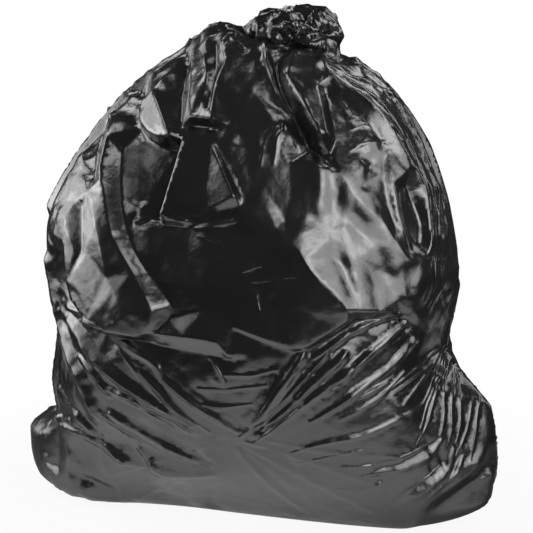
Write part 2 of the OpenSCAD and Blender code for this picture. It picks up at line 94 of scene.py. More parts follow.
# Rings of the filled body: height as a share of the neck's height, shift as a share of LEAN_LEFT, half
# width as a share of BODY_WIDTH, front and back half depth as shares of BODY_DEPTH, squareness
BODY = [
    (0, 0, 0.0002, 0.0003, 0.0003, 2),
    (0, 0.10, 0.290, 0.110, 0.160, 3.5),
    (0.005, 0.05, 0.443, 0.160, 0.250, 4.5),
    (0.047, -0.15, 0.486, 0.245, 0.370, 3.6),
    (0.144, -0.3, 0.500, 0.385, 0.452, 2.6),
    (0.260, -0.65, 0.500, 0.462, 0.489, 2.3),
    (0.376, -0.9, 0.478, 0.500, 0.500, 2.2),
    (0.494, -1.0, 0.499, 0.500, 0.500, 2.1),
    (0.608, -1.12, 0.497, 0.478, 0.478, 2.1),
    (0.718, -0.75, 0.449, 0.432, 0.432, 2.1),
    (0.818, -0.3, 0.384, 0.366, 0.366, 2.1),
    (0.903, -0.05, 0.308, 0.285, 0.285, 2.1),
    (0.962, 0.2, 0.222, 0.200, 0.200, 2),
    (1, 0.6, 0.150, 0.130, 0.130, 2),
]
# Rings of the knot: height as a share of KNOT_HEIGHT, share of KNOT_SHIFT, half width as a share of
# KNOT_WIDTH, half depth as a share of KNOT_DEPTH
KNOT = [
    (0.06, 1.00, 0.40, 0.40),
    (0.33, 0.90, 0.50, 0.50),
    (0.66, 0.80, 0.42, 0.46),
    (0.92, 0.75, 0.23, 0.26),
    (1, 0.75, 0.001, 0.001),
]
# Lift of the left side of each ring as a share of HUMP, which makes the hump beside the knot
LIFT = (0, 0, 0, 0, 0, 0, 0, 0, 0, 0, 0, 0.1, 0.25, 1, 0.25, -0.1, -0.45, -0.3, 0)

# All rings in millimetres: height, shift, half width, front and back half depth, squareness and lift
RINGS = np.array(
    [(share * NECK_Z, shift * LEAN_LEFT, half * BODY_WIDTH, front * BODY_DEPTH, back * BODY_DEPTH, square,
      lift * HUMP)
     for (share, shift, half, front, back, square), lift in zip(BODY, LIFT)]
    + [(NECK_Z + share * KNOT_HEIGHT, shift * KNOT_SHIFT, half * KNOT_WIDTH, deep * KNOT_DEPTH,
        deep * KNOT_DEPTH, ROUND, lift * HUMP)
       for (share, shift, half, deep), lift in zip(KNOT, LIFT[len(BODY):])])
LAST = len(RINGS) - 1

# Creases read off the photograph: each point is (across, down) in pixels and a height in millimetres
CREASES = {
    "bulge peak": [(61, 187, 2), (84, 140, 16), (106, 120, 12), (130, 97, 8)],
    "bulge outer edge": [(84, 140, 16), (72, 172, 13), (58.6, 206.5, 10), (75.5, 221, 17)],
    "bulge inner edge": [(84, 140, 16), (90, 164, 13), (89, 176, 9), (103, 215, 20), (110, 249, 19),
                         (114, 275, 17)],
    "pleat": [(120, 108, 10), (118, 120, 13), (111, 172, 22), (113, 193, 19), (118, 231, 15), (124, 248, 14),
              (158, 308, 16), (148, 331, 18)],
    "pleat valley": [(108, 126, 1), (101, 150, 2), (98, 178, 4)],
    "bulge foot": [(75.5, 221, 17), (72.5, 245, 14), (76, 283, 16), (81, 297, 18), (97, 319, 21),
                   (115, 328, 23), (141, 333, 20), (148, 331, 18)],
    "bulge knee": [(114, 275, 17), (97, 319, 21)],
    "bulge knee right": [(114, 275, 18), (125, 289, 23), (141, 309, 26), (147, 331, 21)],
    "bulge slot": [(86.5, 206, 7), (87, 252, 9)],
    "bulge slot left": [(82, 204, 11), (82, 253, 13)],
    "bulge slot right": [(91.5, 204, 10), (92, 252, 13)],
    "bulge left edge": [(45, 211, 5), (50, 231, 3), (58, 252, -3)],
    "bulge left fall": [(62, 262, -8), (64, 285, -8), (72, 305, -6)],
    "bulge underside": [(86, 318, -4), (100, 331, -6), (118, 340, -6), (148, 343, -6), (168, 318, -6)],
    "left of middle": [(121, 150, -3), (119, 178, -3), (120, 205, -4), (126, 232, -3), (137, 258, -3),
                       (170, 305, -3)],
    "shoulder crest": [(177, 68, 5), (157, 93, 10), (175, 138, 18), (190, 144, 24), (203, 146, 19),
                       (215.5, 149, 17)],
    "facet left": [(157, 93, 10), (144, 103, 5), (140, 115, 3), (150, 132, 6), (169, 140.5, 13),
                   (175, 138, 18)],
    "facet drop": [(190, 144, 24), (162, 215, 8)],
    "facet tail": [(138.5, 164, -10), (149.5, 184.5, -13), (149.5, 199, -13), (157, 214, -15)],
    "facet edge": [(141, 97, -8), (134, 115, -9), (145, 137, -10), (166, 147, -14), (183, 149, -19)],
    "facet drop foot": [(183, 149, -19), (170, 182, -19), (156, 213, -18)],
    "facet foot": [(130, 221, -7), (138.5, 209, -4), (162, 215, 8), (174, 219, 5), (184, 220, 2)],
    "facet underside": [(134, 228, -5), (162, 225, -6), (186, 228, -6)],
    "facet lap": [(136, 256, -3), (162, 254, -5), (186, 256, -6)],
    "cone left": [(215.5, 149, 17), (200, 190, 6), (196, 211, 1)],
    "cone middle": [(215.5, 149, 17), (209, 182, 7), (208, 212, 2)],
    "cone ridge": [(215.5, 149, 17), (228, 175, 18), (238, 198, 19)],
    "cone ridge foot": [(219, 147, 11), (231, 174, 6), (241.5, 197, 3)],
    "cone foot": [(196, 211, 1), (206, 226, -2), (226, 227, -2), (241, 206, 4)],
    "hump rim": [(184, 52, 2), (196, 42, 6), (213, 26, 10), (225, 26, 6), (241, 29, 0)],
    "hump fold left": [(209, 32, 9), (208, 63, 10), (210, 84, 9), (203, 100, 5)],
    "hump fold right": [(225, 46, 9), (228, 66, 12), (218, 90, 12), (213, 122, 12)],
    "hump valley": [(218, 44, 1), (217, 66, 0), (211, 98, 0)],
    "hump side": [(205, 35, 3), (193, 67, 4), (191, 93, 6), (184, 130, 6)],
    "hump side valley": [(188, 62, -6), (180, 95, -8), (181, 122, -2)],
    "hump step": [(193, 119, 8), (212, 122, 12)],
    "hump step underside": [(193, 125, 0), (213, 128, 1)],
    "tongue left fall": [(276, 62, -5), (280, 85, -8), (296, 118, -13), (311, 148, -13), (322, 155, -11)],
    "tongue crest": [(294, 58, 10), (287, 81, 12), (303, 108, 21), (319, 137, 22)],
    "tongue right edge": [(309, 50, 9), (313, 72, 8), (317, 90, 10), (321, 112, 15), (325, 137, 19),
                          (320, 145, 14)],
    "tongue right fall": [(325, 92, -1), (331, 115, -2), (336, 140, -2), (331, 154, -3)],
    "sweep": [(309, 50, 9), (315, 55, 12), (323, 77, 15), (347, 93, 14), (376, 119, 14), (390, 137, 13),
              (398, 149, 11), (422, 187, 9)],
    "sweep underside": [(330, 92, 1), (345, 105, 1), (372, 130, 2), (388, 153, 3)],
    "pocket notch": [(387, 152, 8), (391, 181, 5), (397, 179, 6), (406, 169, 11), (387, 152, 8)],
    "pocket slot": [(409, 183, -7), (418, 203, -9), (424, 224, -6), (422, 244, -4)],
    "pocket lens": [(401, 190, -5), (405, 213, -8), (414, 242, -6)],
    "pocket inner ridge": [(393, 184, 4), (396, 207, 5), (402, 230, 5), (410, 252, 4)],
    "pocket groove": [(384, 160, 0), (384.5, 182, -1), (389, 207, -1), (396, 227, 1)],
    "pocket rim": [(382, 222, 4), (393, 240, 6), (404, 257, 8), (415.5, 265.5, 8), (424, 257, 8),
                   (427, 240, 8), (425.5, 222, 8), (422, 187, 9)],
    "patch ridge": [(334, 157, 0), (341, 172, 3), (355, 198, 4), (372, 212, 4), (382, 222, 4)],
    "patch crease": [(277, 229, 4), (298.5, 250, 10), (311, 270, 12), (331, 290, 13), (346, 308, 14),
                     (347.5, 319, 6)],
    "lobe rim": [(225, 324, 1), (260, 337, 2), (298.5, 348, 4), (317, 339, 5), (346, 320, 7)],
    "lobe underside": [(235, 331, -1), (262, 342, -2), (300, 353, -3), (322, 344, -5), (350, 328, -7)],
    "patch hem": [(347.5, 311, 10), (381, 311, 8), (395, 301, 5), (405, 308, 5)],
    "patch hem underside": [(356, 322, -6), (380, 320, -7), (404, 318, -6)],
    "patch side": [(428, 262, 8), (425, 275, 10), (415, 293, 8), (410, 312, 4)],
    "waist rim": [(149, 331, 8), (185, 336, 7), (218, 342, 7), (229, 356, 3)],
    "waist underside": [(116, 338, -6), (177, 350.5, -6), (196, 354, -6), (230, 360, -4)],
    "left ear loop": [(57, 417, 2), (66, 429, 9), (73, 442, 13), (75, 455, 13), (71, 468, 8), (64, 477, 3)],
    "left ear edge": [(38.5, 434, 2), (38.5, 447, 2), (43, 463, 2), (51, 479, 2)],
    "left ear tuck": [(44, 460, 4), (59, 483, 6), (76, 488, 7), (111, 498, 5), (140, 502, 3)],
    "left ear valley": [(57.5, 463, -2), (85, 478, -3), (114, 491, -2)],
    "left ear top": [(62, 458, 3), (88, 470, 4), (118, 485, 2)],
    "right ear valley": [(493, 456, -4), (484, 476, -7), (459, 495, -8), (424, 521, -6)],
    "right ear ridge": [(487, 446, 3), (476, 466, 5), (451, 485, 5), (413, 510, 4)],
    "right ear flap": [(494, 478, 1), (494, 499, 4), (470, 509, 3), (448, 518, 1)],
    "patch side left": [(290, 163, -2), (291, 190, -3), (285, 222, -2)],
    "patch side crest": [(309, 163, 1), (310, 190, 1), (306, 215, 1)],
    "sweep fall": [(336, 70, 5), (360, 86, 4), (388, 110, 3), (404, 134, 2), (424, 170, 2)],
    "left wedge": [(153, 463, 5), (165, 470, 10), (190, 473, 7), (213, 474, 0)],
    "left wedge top": [(141, 430, -5), (165, 443, -8), (190, 457, -6), (213, 471, -1)],
    "left glint": [(102, 441, -1), (126, 458, 7), (147, 469, 3)],
    "left glint top": [(102, 438, -2), (125, 445, -4), (147, 456, -1)],
    "lobe belly": [(262, 245, 2), (285, 285, 4), (305, 315, 6)],
    "knot twist": [(293, 39.3, 4), (304, 26, 7), (314.7, 13.3, 5)],
    "knot roll": [(287.3, 42, 4), (311, 38.5, 7), (334.3, 35.8, 6)],
    "knot wedge": [(250, 24.6, 3), (275, 20, 6), (300, 14, 5), (315, 11, 4)],
    "knot wedge low": [(262, 27, 3), (285, 25.5, 5), (300, 21, 4), (310, 16, 3)],
    "knot end": [(325, 14, 4), (322, 24, 5), (318, 31, 2)],
    "knot side": [(334, 27, 4), (341, 38, 5), (343, 46, 3)],
    "knot valley left": [(258, 26, -3), (290, 21, -4), (306, 15, -4)],
    "knot valley middle": [(289, 36, -4), (300, 28, -5), (312, 20, -5)],
    "knot valley right": [(300, 36, -5), (325, 31, -6), (336, 31, -4)],
    "knot valley low": [(290, 44, -5), (315, 43, -6), (340, 42, -4)],
}

# Creases that bend smoothly; the others are straight from point to point
CURVED = (
    "pocket inner ridge", "pocket groove", "pocket rim", "pocket slot", "pocket lens", "sweep",
    "sweep underside", "lobe rim", "lobe underside", "facet left", "patch ridge", "patch crease", "pleat",
    "bulge inner edge", "bulge left edge", "waist rim", "waist underside", "left of middle", "facet edge",
    "left ear loop", "left ear edge", "left ear tuck", "right ear valley", "right ear ridge",
)

# Narrow folds read off the photograph: half width in millimetres, then points as above
PLEATS = {
    "middle ridge": (7.2, [(258.6, 25, 4.5), (264, 46, 5.2), (270, 69, 4.5), (278, 91, 2.6),
                           (290, 112, 0.6)]),
    "hump top left": (4.5, [(227.7, 28, 2.8), (239, 39, 2.4)]),
    "hump top right": (4.5, [(232, 39, 2.8), (246, 52.6, 2.2)]),
    "side line": (4.5, [(441.6, 282, 2.8), (428.6, 308, 2.8)]),
    "below bulge": (7.2, [(66, 307.6, 3.6), (97, 321, 4.7), (122, 343.6, 5.2), (157, 365, 5.2),
                          (161.6, 375.7, 2.1)]),
    "long left": (11, [(60, 310, 4.7), (80, 336, 7.1), (91, 353, 7.9), (122, 382, 7.9),
                       (162, 408, 5.6), (192, 426, 2.3)]),
    "left bright": (10.2, [(60, 322, 3.7), (70, 352, 6.6), (80.5, 376, 7.3), (96, 412, 5.9)]),
    "left low 1": (6.4, [(53, 372, 3.3), (65, 400, 4.6), (83.6, 421.6, 4.6), (97.4, 434.6, 2.6)]),
    "left low 2": (6.4, [(60.6, 420, 3.3), (97.4, 440, 4.6), (117, 453.8, 4.6), (160, 469, 2.6)]),
    "left fan 1": (9.3, [(112, 412, 3.4), (150, 438, 6.7), (185, 456, 5.4), (211, 465, 2)]),
    "left fan 2": (7.2, [(140, 448, 3.2), (162, 466, 5.2), (212, 473, 1.9)]),
    "left fan 3": (7.2, [(100, 385, 3), (125, 396, 5.2), (162, 413, 5.2), (190, 432, 2.2)]),
    "left fan 4": (6.4, [(140, 372, 3), (152.5, 383, 4.6), (174, 407, 4.6), (196, 425, 2.4)]),
    "left fan 5": (6.4, [(163, 379, 3), (192, 402, 4.6), (220, 420, 4.6), (238, 432, 2.4)]),
    "left fan 6": (6.4, [(80, 356, 3), (98, 378, 4.6), (110, 395, 3.8)]),
    "middle line 1": (2.6, [(198, 389, 1.2), (230, 390, 1.8), (266, 386, 1.2)]),
    "middle line 2": (2.6, [(191, 402, 1.2), (220, 407, 1.8), (250, 405, 1.2)]),
    "middle line 3": (2.6, [(225, 375, 1.3), (250, 376, 1.8), (276, 370, 1.3)]),
    "middle line 4": (2.6, [(210, 360, 1.3), (219, 372, 1.8), (224, 382, 1.3)]),
    "right fan 1": (11, [(304, 353, 5.3), (293, 372, 7.9), (278, 392, 7.9), (259.6, 419, 6),
                         (240, 437, 1.9)]),
    "right fan 2": (8.5, [(346, 352, 4.3), (333, 367, 6.1), (310.6, 386, 6.1), (290, 408, 4.8),
                          (262, 430, 2.5)]),
    "right fan 3": (7.2, [(374, 350, 3.4), (355, 367, 5.2), (339, 380, 5.2), (314, 397, 5.2),
                          (280, 424, 3.4), (253, 443, 1.2)]),
    "right fan 4": (7.2, [(387, 370, 3.9), (362, 388, 5.2), (339, 405, 3.9), (310, 422, 1.9)]),
    "right fan 5": (4.5, [(386, 384, 1.9), (372, 391, 2.8), (358, 398, 1.9)]),
    "right fan 6": (4.5, [(398, 419.6, 2.3), (361.6, 435.5, 2.8), (314, 445, 2.3), (290, 453, 0.9)]),
    "right fan 7": (2.6, [(362, 450, 1.4), (333, 456, 1.8), (298, 463, 1.1)]),
    "right fan 8": (2.6, [(371, 466, 1.3), (342, 467.4, 1.8)]),
    "right fan 9": (4.5, [(381, 483, 2.2), (361.6, 489.7, 2.8), (333, 489.7, 1.6)]),
    "waist 1": (6.4, [(401, 315, 3.4), (378, 322, 4.1), (355, 332, 4.6), (314, 359, 2.9)]),
    "waist 2": (6.4, [(409, 324, 3), (395, 334, 4.6), (377.5, 348, 4.1), (352, 366, 2.1)]),
    "waist 3": (7.2, [(416, 340, 4.5), (400, 356, 5.2), (387, 370, 3.2)]),
    "pinch 1": (2.6, [(436.5, 349, 1.3), (409, 375, 1.8), (390, 389, 1.1)]),
    "pinch 2": (2.6, [(432, 362, 1.3), (412, 380, 1.8), (393.5, 394, 1.1)]),
    "pinch side 1": (2.6, [(444.5, 344.6, 1), (433.4, 380, 1.8), (424, 403.6, 1.7), (404.7, 415, 0.6)]),
    "pinch side 2": (2.6, [(448, 340, 1.1), (440, 372, 1.8), (431, 398, 1.8), (421, 428, 1)]),
    "pinch side 3": (2, [(452, 352, 0.7), (444.5, 389, 1.3), (446, 411.6, 1.2), (441, 435.5, 0.9)]),
    "pinch side 4": (2, [(453, 356, 0.8), (459, 380, 1.3), (462, 418, 1.3), (457, 442, 1)]),
    "pinch side 5": (2, [(481, 397, 0.8), (475, 435.5, 1.3), (470, 459, 0.8)]),
    "ear bright 1": (8.5, [(441, 440, 2.3), (430, 455, 5.1), (409, 466, 5.1), (385, 472, 3.7),
                           (361.6, 477, 1.7)]),
    "ear bright 2": (9.3, [(454, 448, 2.2), (447.7, 469, 5.4), (432, 482, 5.6), (417, 493, 5.4),
                           (384, 512, 1.6)]),
    "ear bright 3": (6.4, [(462, 458, 2.2), (455.7, 472, 3.8), (428.6, 493, 2.2)]),
    "shoulder 1": (3.4, [(320, 64.5, 1.1), (351, 70, 2.1), (376, 77, 2), (386, 82, 1.4)]),
    "shoulder 2": (3.4, [(323, 73, 1.1), (348, 79.5, 2.1), (376, 88, 2.1), (400, 106, 1.5),
                         (412, 122, 1.1)]),
    "shoulder 3": (3.4, [(334, 82, 1.1), (348, 88, 2), (369, 98, 2.1), (390, 121, 2.1),
                         (403, 140, 1.5), (412, 160, 1)]),
    "shoulder 4": (3.4, [(385, 92, 1.3), (404, 116, 2.1), (419, 145, 2.1), (428, 166, 1.3)]),
    "right side 1": (3.4, [(407, 140, 1.3), (419, 170, 2.1), (427, 196, 1.5), (431, 228, 1.7),
                           (432, 296, 1.1)]),
    "right side 2": (3.4, [(416, 143, 1.5), (433, 168, 2.1), (438, 196, 1.8), (443, 225, 2.1),
                           (452, 256, 1.5)]),
    "right side 3": (3.4, [(430, 184, 1.5), (439, 218, 2.1), (442, 250, 2.1), (441, 280, 1.8),
                           (446, 306, 1.3)]),
    "crumple 1": (4, [(243, 272, 0.7), (252, 268, 1.7), (261, 266, 0.7)]),
    "crumple 2": (4, [(251, 281.5, 0.5), (268, 280, 0.9), (296, 276, 0.3)]),
    "crumple 3": (4, [(256, 296, 0.9), (259, 310, 0.5)]),
    "crumple 4": (7, [(261, 166, 0.5), (266, 135, 1.5), (282, 123, 1.0)]),
    "crumple 5": (6, [(274, 164, 0.5), (279, 135, 1.2), (284, 123, 0.8)]),
    "crumple 6": (6, [(285, 124, 1.2), (294, 140, 1.2), (300, 150, 0.7)]),
    "crumple 7": (6, [(195, 228, 1.3), (212, 226, 2.5), (236, 221, 1.9)]),
    "crumple 8": (5, [(198, 236, 1.1), (214, 240, 2.1), (226, 248, 1.1)]),
    "crumple 9": (4, [(352, 130, 0.4), (362, 125, 0.9), (370, 128, 0.5)]),
    "crumple 10": (5, [(352, 150, 0.5), (368, 142, 1.1), (384, 143, 0.5)]),
    "crumple 11": (5, [(362, 160, 0.5), (372, 165, 1.1), (372, 172, 0.5)]),
    "crumple 12": (4, [(143, 217, 1.7), (157, 222, 1.7)]),
    "crumple 13": (5, [(135, 220, 1.4), (165, 221, 2.1), (190, 222, 1.4)]),
    "shoulder 5": (3.4, [(345, 66, 0.8), (366, 73, 2.1), (384, 84, 2.1), (404, 108, 1.3)]),
    "shoulder 6": (3.4, [(330, 90, 0.8), (352, 98, 1.7), (380, 121, 2.1), (398, 140, 0.8)]),
    "shoulder 7": (3.4, [(392, 100, 1.3), (412, 130, 2.1), (424, 160, 1.7), (434, 190, 0.8)]),
    "right side 4": (3.4, [(421, 150, 0.8), (430, 180, 2.1), (436, 214, 2.1), (437, 262, 0.8)]),
    "right side 5": (3.4, [(433, 200, 1.1), (445, 240, 2.1), (450, 280, 2.1), (447, 318, 1.1)]),
    "right side 6": (3.4, [(426, 235, 1.1), (428, 270, 2.1), (424, 300, 1.5)]),
    "pinch side 6": (2.6, [(440, 352, 1.1), (420, 382, 1.8), (404, 404, 1.1)]),
    "pinch side 7": (2.6, [(447, 356, 1.1), (437, 392, 1.8), (428, 424, 1.4), (417, 446, 0.7)]),
    "pinch side 8": (2.6, [(455, 362, 0.7), (453, 396, 1.8), (452, 430, 1.4), (446, 450, 0.7)]),
    "ear line 1": (2, [(474, 396, 0.7), (468, 430, 1.3), (455, 458, 1)]),
    "ear line 2": (2, [(440, 466, 0.7), (420, 482, 1.3), (398, 493, 0.9)]),
    "ear line 3": (2, [(428, 446, 0.5), (405, 456, 1.3), (378, 464, 0.8)]),
    "right fan 10": (4.5, [(330, 350, 1.7), (312, 372, 2.8), (292, 392, 2.4), (266, 422, 1)]),
    "right fan 11": (2.6, [(362, 366, 1.1), (338, 386, 1.8), (308, 404, 1.6), (284, 418, 0.5)]),
    "right fan 12": (2.6, [(404, 372, 1), (386, 392, 1.8), (366, 406, 1.2), (340, 420, 0.6)]),
    "left fan 7": (4.5, [(70, 330, 1.2), (96, 366, 2.8), (130, 398, 2.4), (172, 430, 0.8)]),
    "left fan 8": (4.5, [(92, 404, 1.4), (126, 430, 2.8), (164, 452, 2.3), (200, 466, 0.9)]),
    "left fan 9": (2.6, [(118, 350, 1), (150, 386, 1.8), (184, 414, 1.2), (210, 432, 0.6)]),
    "left fan 10": (2.6, [(58, 340, 1), (72, 372, 1.8), (90, 402, 1.4), (104, 420, 0.6)]),
    "front 1": (6, [(246, 441, 0.6), (330, 468, 1.6), (400, 496, 1)]),
    "front 2": (7, [(244, 446, 0.6), (310, 480, 1.7), (372, 512, 1)]),
    "front 3": (6, [(238, 448, 0.6), (268, 482, 1.5), (300, 508, 1)]),
    "front 4": (7, [(230, 448, 0.6), (222, 480, 1.6), (212, 504, 1)]),
    "front 5": (6, [(222, 447, 0.6), (180, 476, 1.6), (140, 496, 1)]),
    "front 6": (6, [(214, 445, 0.6), (160, 458, 1.6), (110, 472, 1)]),
    "front 7": (6, [(250, 436, 0.6), (330, 452, 1.4), (400, 458, 1)]),
}

# Soft dents and swellings read off the photograph: half width in millimetres, then points as above
DENTS = {
    "patch finger": (15, [(317, 152, 2), (320, 185, 3), (319, 207, 2)]),
    "patch finger side": (15, [(330, 160, 0), (335, 190, -2), (336, 222, -2)]),
    "patch hollow": (22, [(340, 190, -1), (347, 210, -3), (362, 228, -4), (378, 252, -3), (382, 285, -1)]),
    "patch lump": (16, [(348, 246, 1), (357, 272, 3), (366, 297, 1)]),
    "patch lump right": (16, [(390, 252, 1), (398, 280, 2), (398, 300, 1)]),
    "patch dent": (12, [(362, 150, -1.5), (372, 170, -2), (366, 184, -1)]),
    "patch dent low": (12, [(338, 260, -1), (350, 290, -2)]),
}

# The coarser grid that relaxes, and the one that the folds are drawn on: steps round the front, steps round
# the back, rings
COARSE_GRID, DRAWING_GRID = (136, 64, 120), (276, 124, 240)
# Where the front of a grid starts and how far it reaches, in degrees
FRONT_START, FRONT_SWEEP = -184.0, 188.0
# How close the grids' rings lie, where 1 is usual: below each ring named here at the foot, and past each at
# the neck
FOOT_CLOSENESS = ((1, 0.25), (2.2, 0.5))
NECK_CLOSENESS = ((11, 1.35), (13, 1.5))
# Rings between which the folds begin at the foot, the film's own folds end at the neck, and the drawn ones
# end at the knot
FOOT_RINGS, NECK_RINGS, KNOT_RINGS = (1.6, 2.8), (13.0, 14.0), (17.0, 17.8)
# Rings between which the film may move as it relaxes
MOBILE_RINGS = ((1.5, 2.6), (12.8, 13.4))
# The film's own points: spacing at the front and at the back, jitter as a share of it, seed of the jitter,
# and the rings between which they lie
SPACING = (3.9, 5.0)
JITTER, JITTER_SEED = 0.22, 3
FIRST_RING, LAST_RING = 1.0, 17.6
# How the film is laid flat: the angles at which its length from ring to ring is measured, the angle of the
# seam, and millimetres to a degree
LAYING_ANGLES = (-60.0, -8.0, 120.0)
SEAM = 18.0
FLAT_DEGREE = 4.0
# On the film laid flat: how far the folds' points keep from its borders, the longest edge across between two
# of them, and the fewest points in a row
BORDER, LONGEST_EDGE, FEWEST_POINTS = 3, 60, 36
# Folds of each kind on each of the two sides
SIDE_FOLDS = 9
# Form of these folds and of the gathers: the rounded top in millimetres, the power of the flanks, and how far
# a fold steers the streaks as a share of its half width
FOLD_TOP, FOLD_POWER, FOLD_REACH = 2, 1.3, 2.4
# Twist of the knot: grooves round it, how many of them it turns by from ring to ring, how many it sways by,
# and the rings between which they begin and end
KNOT_GROOVES, KNOT_SLANT, KNOT_SWAY = 7, 0.3, 0.15
KNOT_GROOVE_RINGS = ((14, 14.8), (17.2, 18))
# Half the width of the rounded edge of a fold, in millimetres
EDGE = 0.8
# A pleat's edge as a share of that, and where the points on its flanks lie
PLEAT_EDGE, MID_FLANK = 0.6, 0.55
# How squarely the film faces the camera, from 0, edge on, to 1: where the drawing begins and is whole, and
# where the film still counts as shown
SEEN_FACING, SHOWN_FACING = (0.10, 0.34), 0.02
# The back repeats the drawing, mirrored and moved: pixels, degrees to a pixel, and degrees at the start
BACK_SWAY = (16, 0.76, 69)
BACK_SHIFT, BACK_SHIFT_PACE, BACK_SHIFT_TOP = 34, 0.38, 20
# Points of the uneven ground between the creases, in pixels: the square they fill, their spacing, how far
# they stray, and how far they keep from a crease; nearer than SAME_SPOT two points of creases are one
NET_AREA, NET_STEP, NET_STRAY, NET_CLEAR, SAME_SPOT = (-30, 565), 26, 7, 15, 1.6
NET_SEED = 4
# Corners of the picture that the net spans, where the film is as it was
NET_CORNERS = ((-60, -60), (600, -60), (600, 600), (-60, 600))
# How the folds steer the streaks: reach of a crease in pixels, reach of a pleat as a share of its half
# width, the least half width for that, and a crease's share of the flow and of the gathering
CREASE_REACH, PLEAT_REACH, NARROWEST, CREASE_FLOW, CREASE_GATHER = 26, 2.6, 6, 0.35, 0.45
# Streaks between the folds: seed, width, length along the flow, and height, all but the seed in millimetres
STREAKS = ((20, 30.0, 150.0, 1.5), (21, 12.0, 150.0, 1.7), (22, 6.0, 130.0, 1.1))
# Crumples of the knot: seed, width and height
KNOT_CRUMPLES = (31, 9.0, 1.6)
# How the coarser grid relaxes: steps, share of them in which the spare length grows, spare length across the
# folds, tension along them and how quickly it sets in, pull back to the drawn shape, bending stiffness, bend
# in millimetres past which the film creases, the furthest it moves, momentum, how far it sees the drawn
# folds smoothed, weight of edges along and across the grid and of diagonal ones, share of a correction that
# a step takes, and share of the motion along the film that a step keeps
WAY = {"steps": 200, "growing": 0.6, "spare": 0.011, "tight": 0.008, "onset": 3, "pull": 0.010,
       "stiffness": 0.15, "crease": 2.0, "cap": 6.0, "momentum": 0.9, "soften": 3, "straight": 0.5,
       "diagonal": 0.3, "taken": 0.42, "slide": 0.99}
# How often the flow of the streaks and the gathering are smoothed
FLOW_SOFTEN, GATHER_SOFTEN = 6, 4


def ramp(value, low, high):
    """Smooth step from 0 at low to 1 at high."""
    share = np.clip((value - low) / (high - low), 0, 1)
    return share * share * (3 - 2 * share)


def wrapped(degrees):
    """Angles from -180 to 180 degrees."""
    return (degrees + 180) % 360 - 180


def sway(number):
    """Uneven values from -1 to 1, one for each whole number."""
    return math.sin(math.radians(137 * number))


def unit(vectors):
    """Vectors of length 1."""
    return vectors / np.maximum(np.linalg.norm(vectors, axis=-1, keepdims=True), 1e-6)


def course(t):
    """Ring values at t, on a Catmull-Rom curve through RINGS."""
    t = np.clip(t, 0, LAST)
    i = np.clip(np.floor(t).astype(int), 0, LAST - 1)
    f = (t - i)[..., None]
    a, b, c, d = RINGS[np.maximum(i - 1, 0)], RINGS[i], RINGS[i + 1], RINGS[np.minimum(i + 2, LAST)]
    return 0.5 * (2 * b + (c - a) * f + (2 * a - 5 * b + 4 * c - d) * f**2 + (3 * b - a - 3 * c + d) * f**3)


def skin(angle, t):
    """Points of the smooth filled shape: angle round the sack (0 right, -90 front), t the ring."""
    z, shift, half, front, back, square, lift = np.moveaxis(course(t), -1, 0)
    z = np.maximum(z, 0)
    c, q = np.cos(np.radians(angle)), np.sin(np.radians(angle))
    across, along = 2 / np.clip(square, 1.5, 2.4), 2 / np.maximum(square, 1.5)
    a = wrapped(angle)
    right = np.clip(1 - np.abs(a) / RIGHT_EAR_TURN, 0, 1) ** 1.5
    left = np.clip(1 - (180 - np.abs(a)) / LEFT_EAR_TURN, 0, 1) ** 1.4
    raised = np.clip(1 - np.abs(a) / RIGHT_RISE_TURN, 0, 1)
    ahead = ramp(1 - np.abs(wrapped(angle - LEFT_TOE_ANGLE)) / LEFT_TOE_TURN, 0, 1)
    share = z / NECK_Z
    edge = ramp(t, *CORNER_RINGS)
    foot = ramp(t, *RISE_RINGS) * (1 - ramp(share, *RIGHT_RISE_FADE))
    x = (shift + half * np.sign(c) * np.abs(c) ** across
         + RIGHT_EAR * right * (1 - ramp(share, *RIGHT_EAR_FADE)) * edge
         - LEFT_EAR * left * (1 - ramp(share, *LEFT_EAR_FADE)) * edge)
    toe = LEFT_TOE * ahead * (1 - ramp(share, *LEFT_TOE_FADE)) * edge
    y = np.where(q < 0, front, back) * np.sign(q) * np.abs(q) ** along - toe
    up = np.maximum(z - lift * c + RIGHT_RISE * raised * foot, 0)
    return np.stack([x, y, up], -1)


def grid(front, back, rings):
    """Angles and ring numbers, evenly spread over the film and closer at the neck."""
    angles = np.concatenate([FRONT_START + FRONT_SWEEP * np.arange(front) / front,
                             FRONT_START + FRONT_SWEEP + (360 - FRONT_SWEEP) * np.arange(back) / back])
    t = np.linspace(0.02, LAST - 0.02, 4000)
    paths = [skin(np.full_like(t, angle), t) for angle in LAYING_ANGLES[:2]]
    step = sum(0.5 * np.r_[0, np.linalg.norm(np.diff(p, axis=0), axis=1)] for p in paths)
    (sole, sole_closeness), (foot, foot_closeness) = FOOT_CLOSENESS
    close = np.where(t < sole, sole_closeness, np.where(t < foot, foot_closeness, 1.0))
    for ring, closeness in NECK_CLOSENESS:
        close = close * np.where(t > ring, closeness, 1.0)
    length = np.cumsum(step * close)
    return angles, np.interp(np.linspace(0, length[-1], rings), length, t)


class Patch:
    """Points of the smooth film, their outward direction, and how far a degree and a ring take them."""

    def __init__(self, angle, ring):
        self.angle, self.ring = angle, ring
        self.points = skin(angle, ring)
        east = skin(angle + 0.5, ring) - skin(angle - 0.5, ring)
        north = skin(angle, np.minimum(ring + 0.02, LAST)) - skin(angle, np.maximum(ring - 0.02, 0))
        self.out = unit(np.cross(east, north))
        self.east = unit(east)
        self.north = np.cross(self.out, self.east)
        self.per_degree = np.maximum(np.linalg.norm(east, axis=-1), 0.02)
        self.per_ring = np.maximum(np.linalg.norm(north, axis=-1) / 0.04, 1.0)
        self.fade = ramp(ring, *FOOT_RINGS) * (1 - ramp(ring, *NECK_RINGS))
        self.drawn = ramp(ring, *FOOT_RINGS) * (1 - ramp(ring, *KNOT_RINGS))


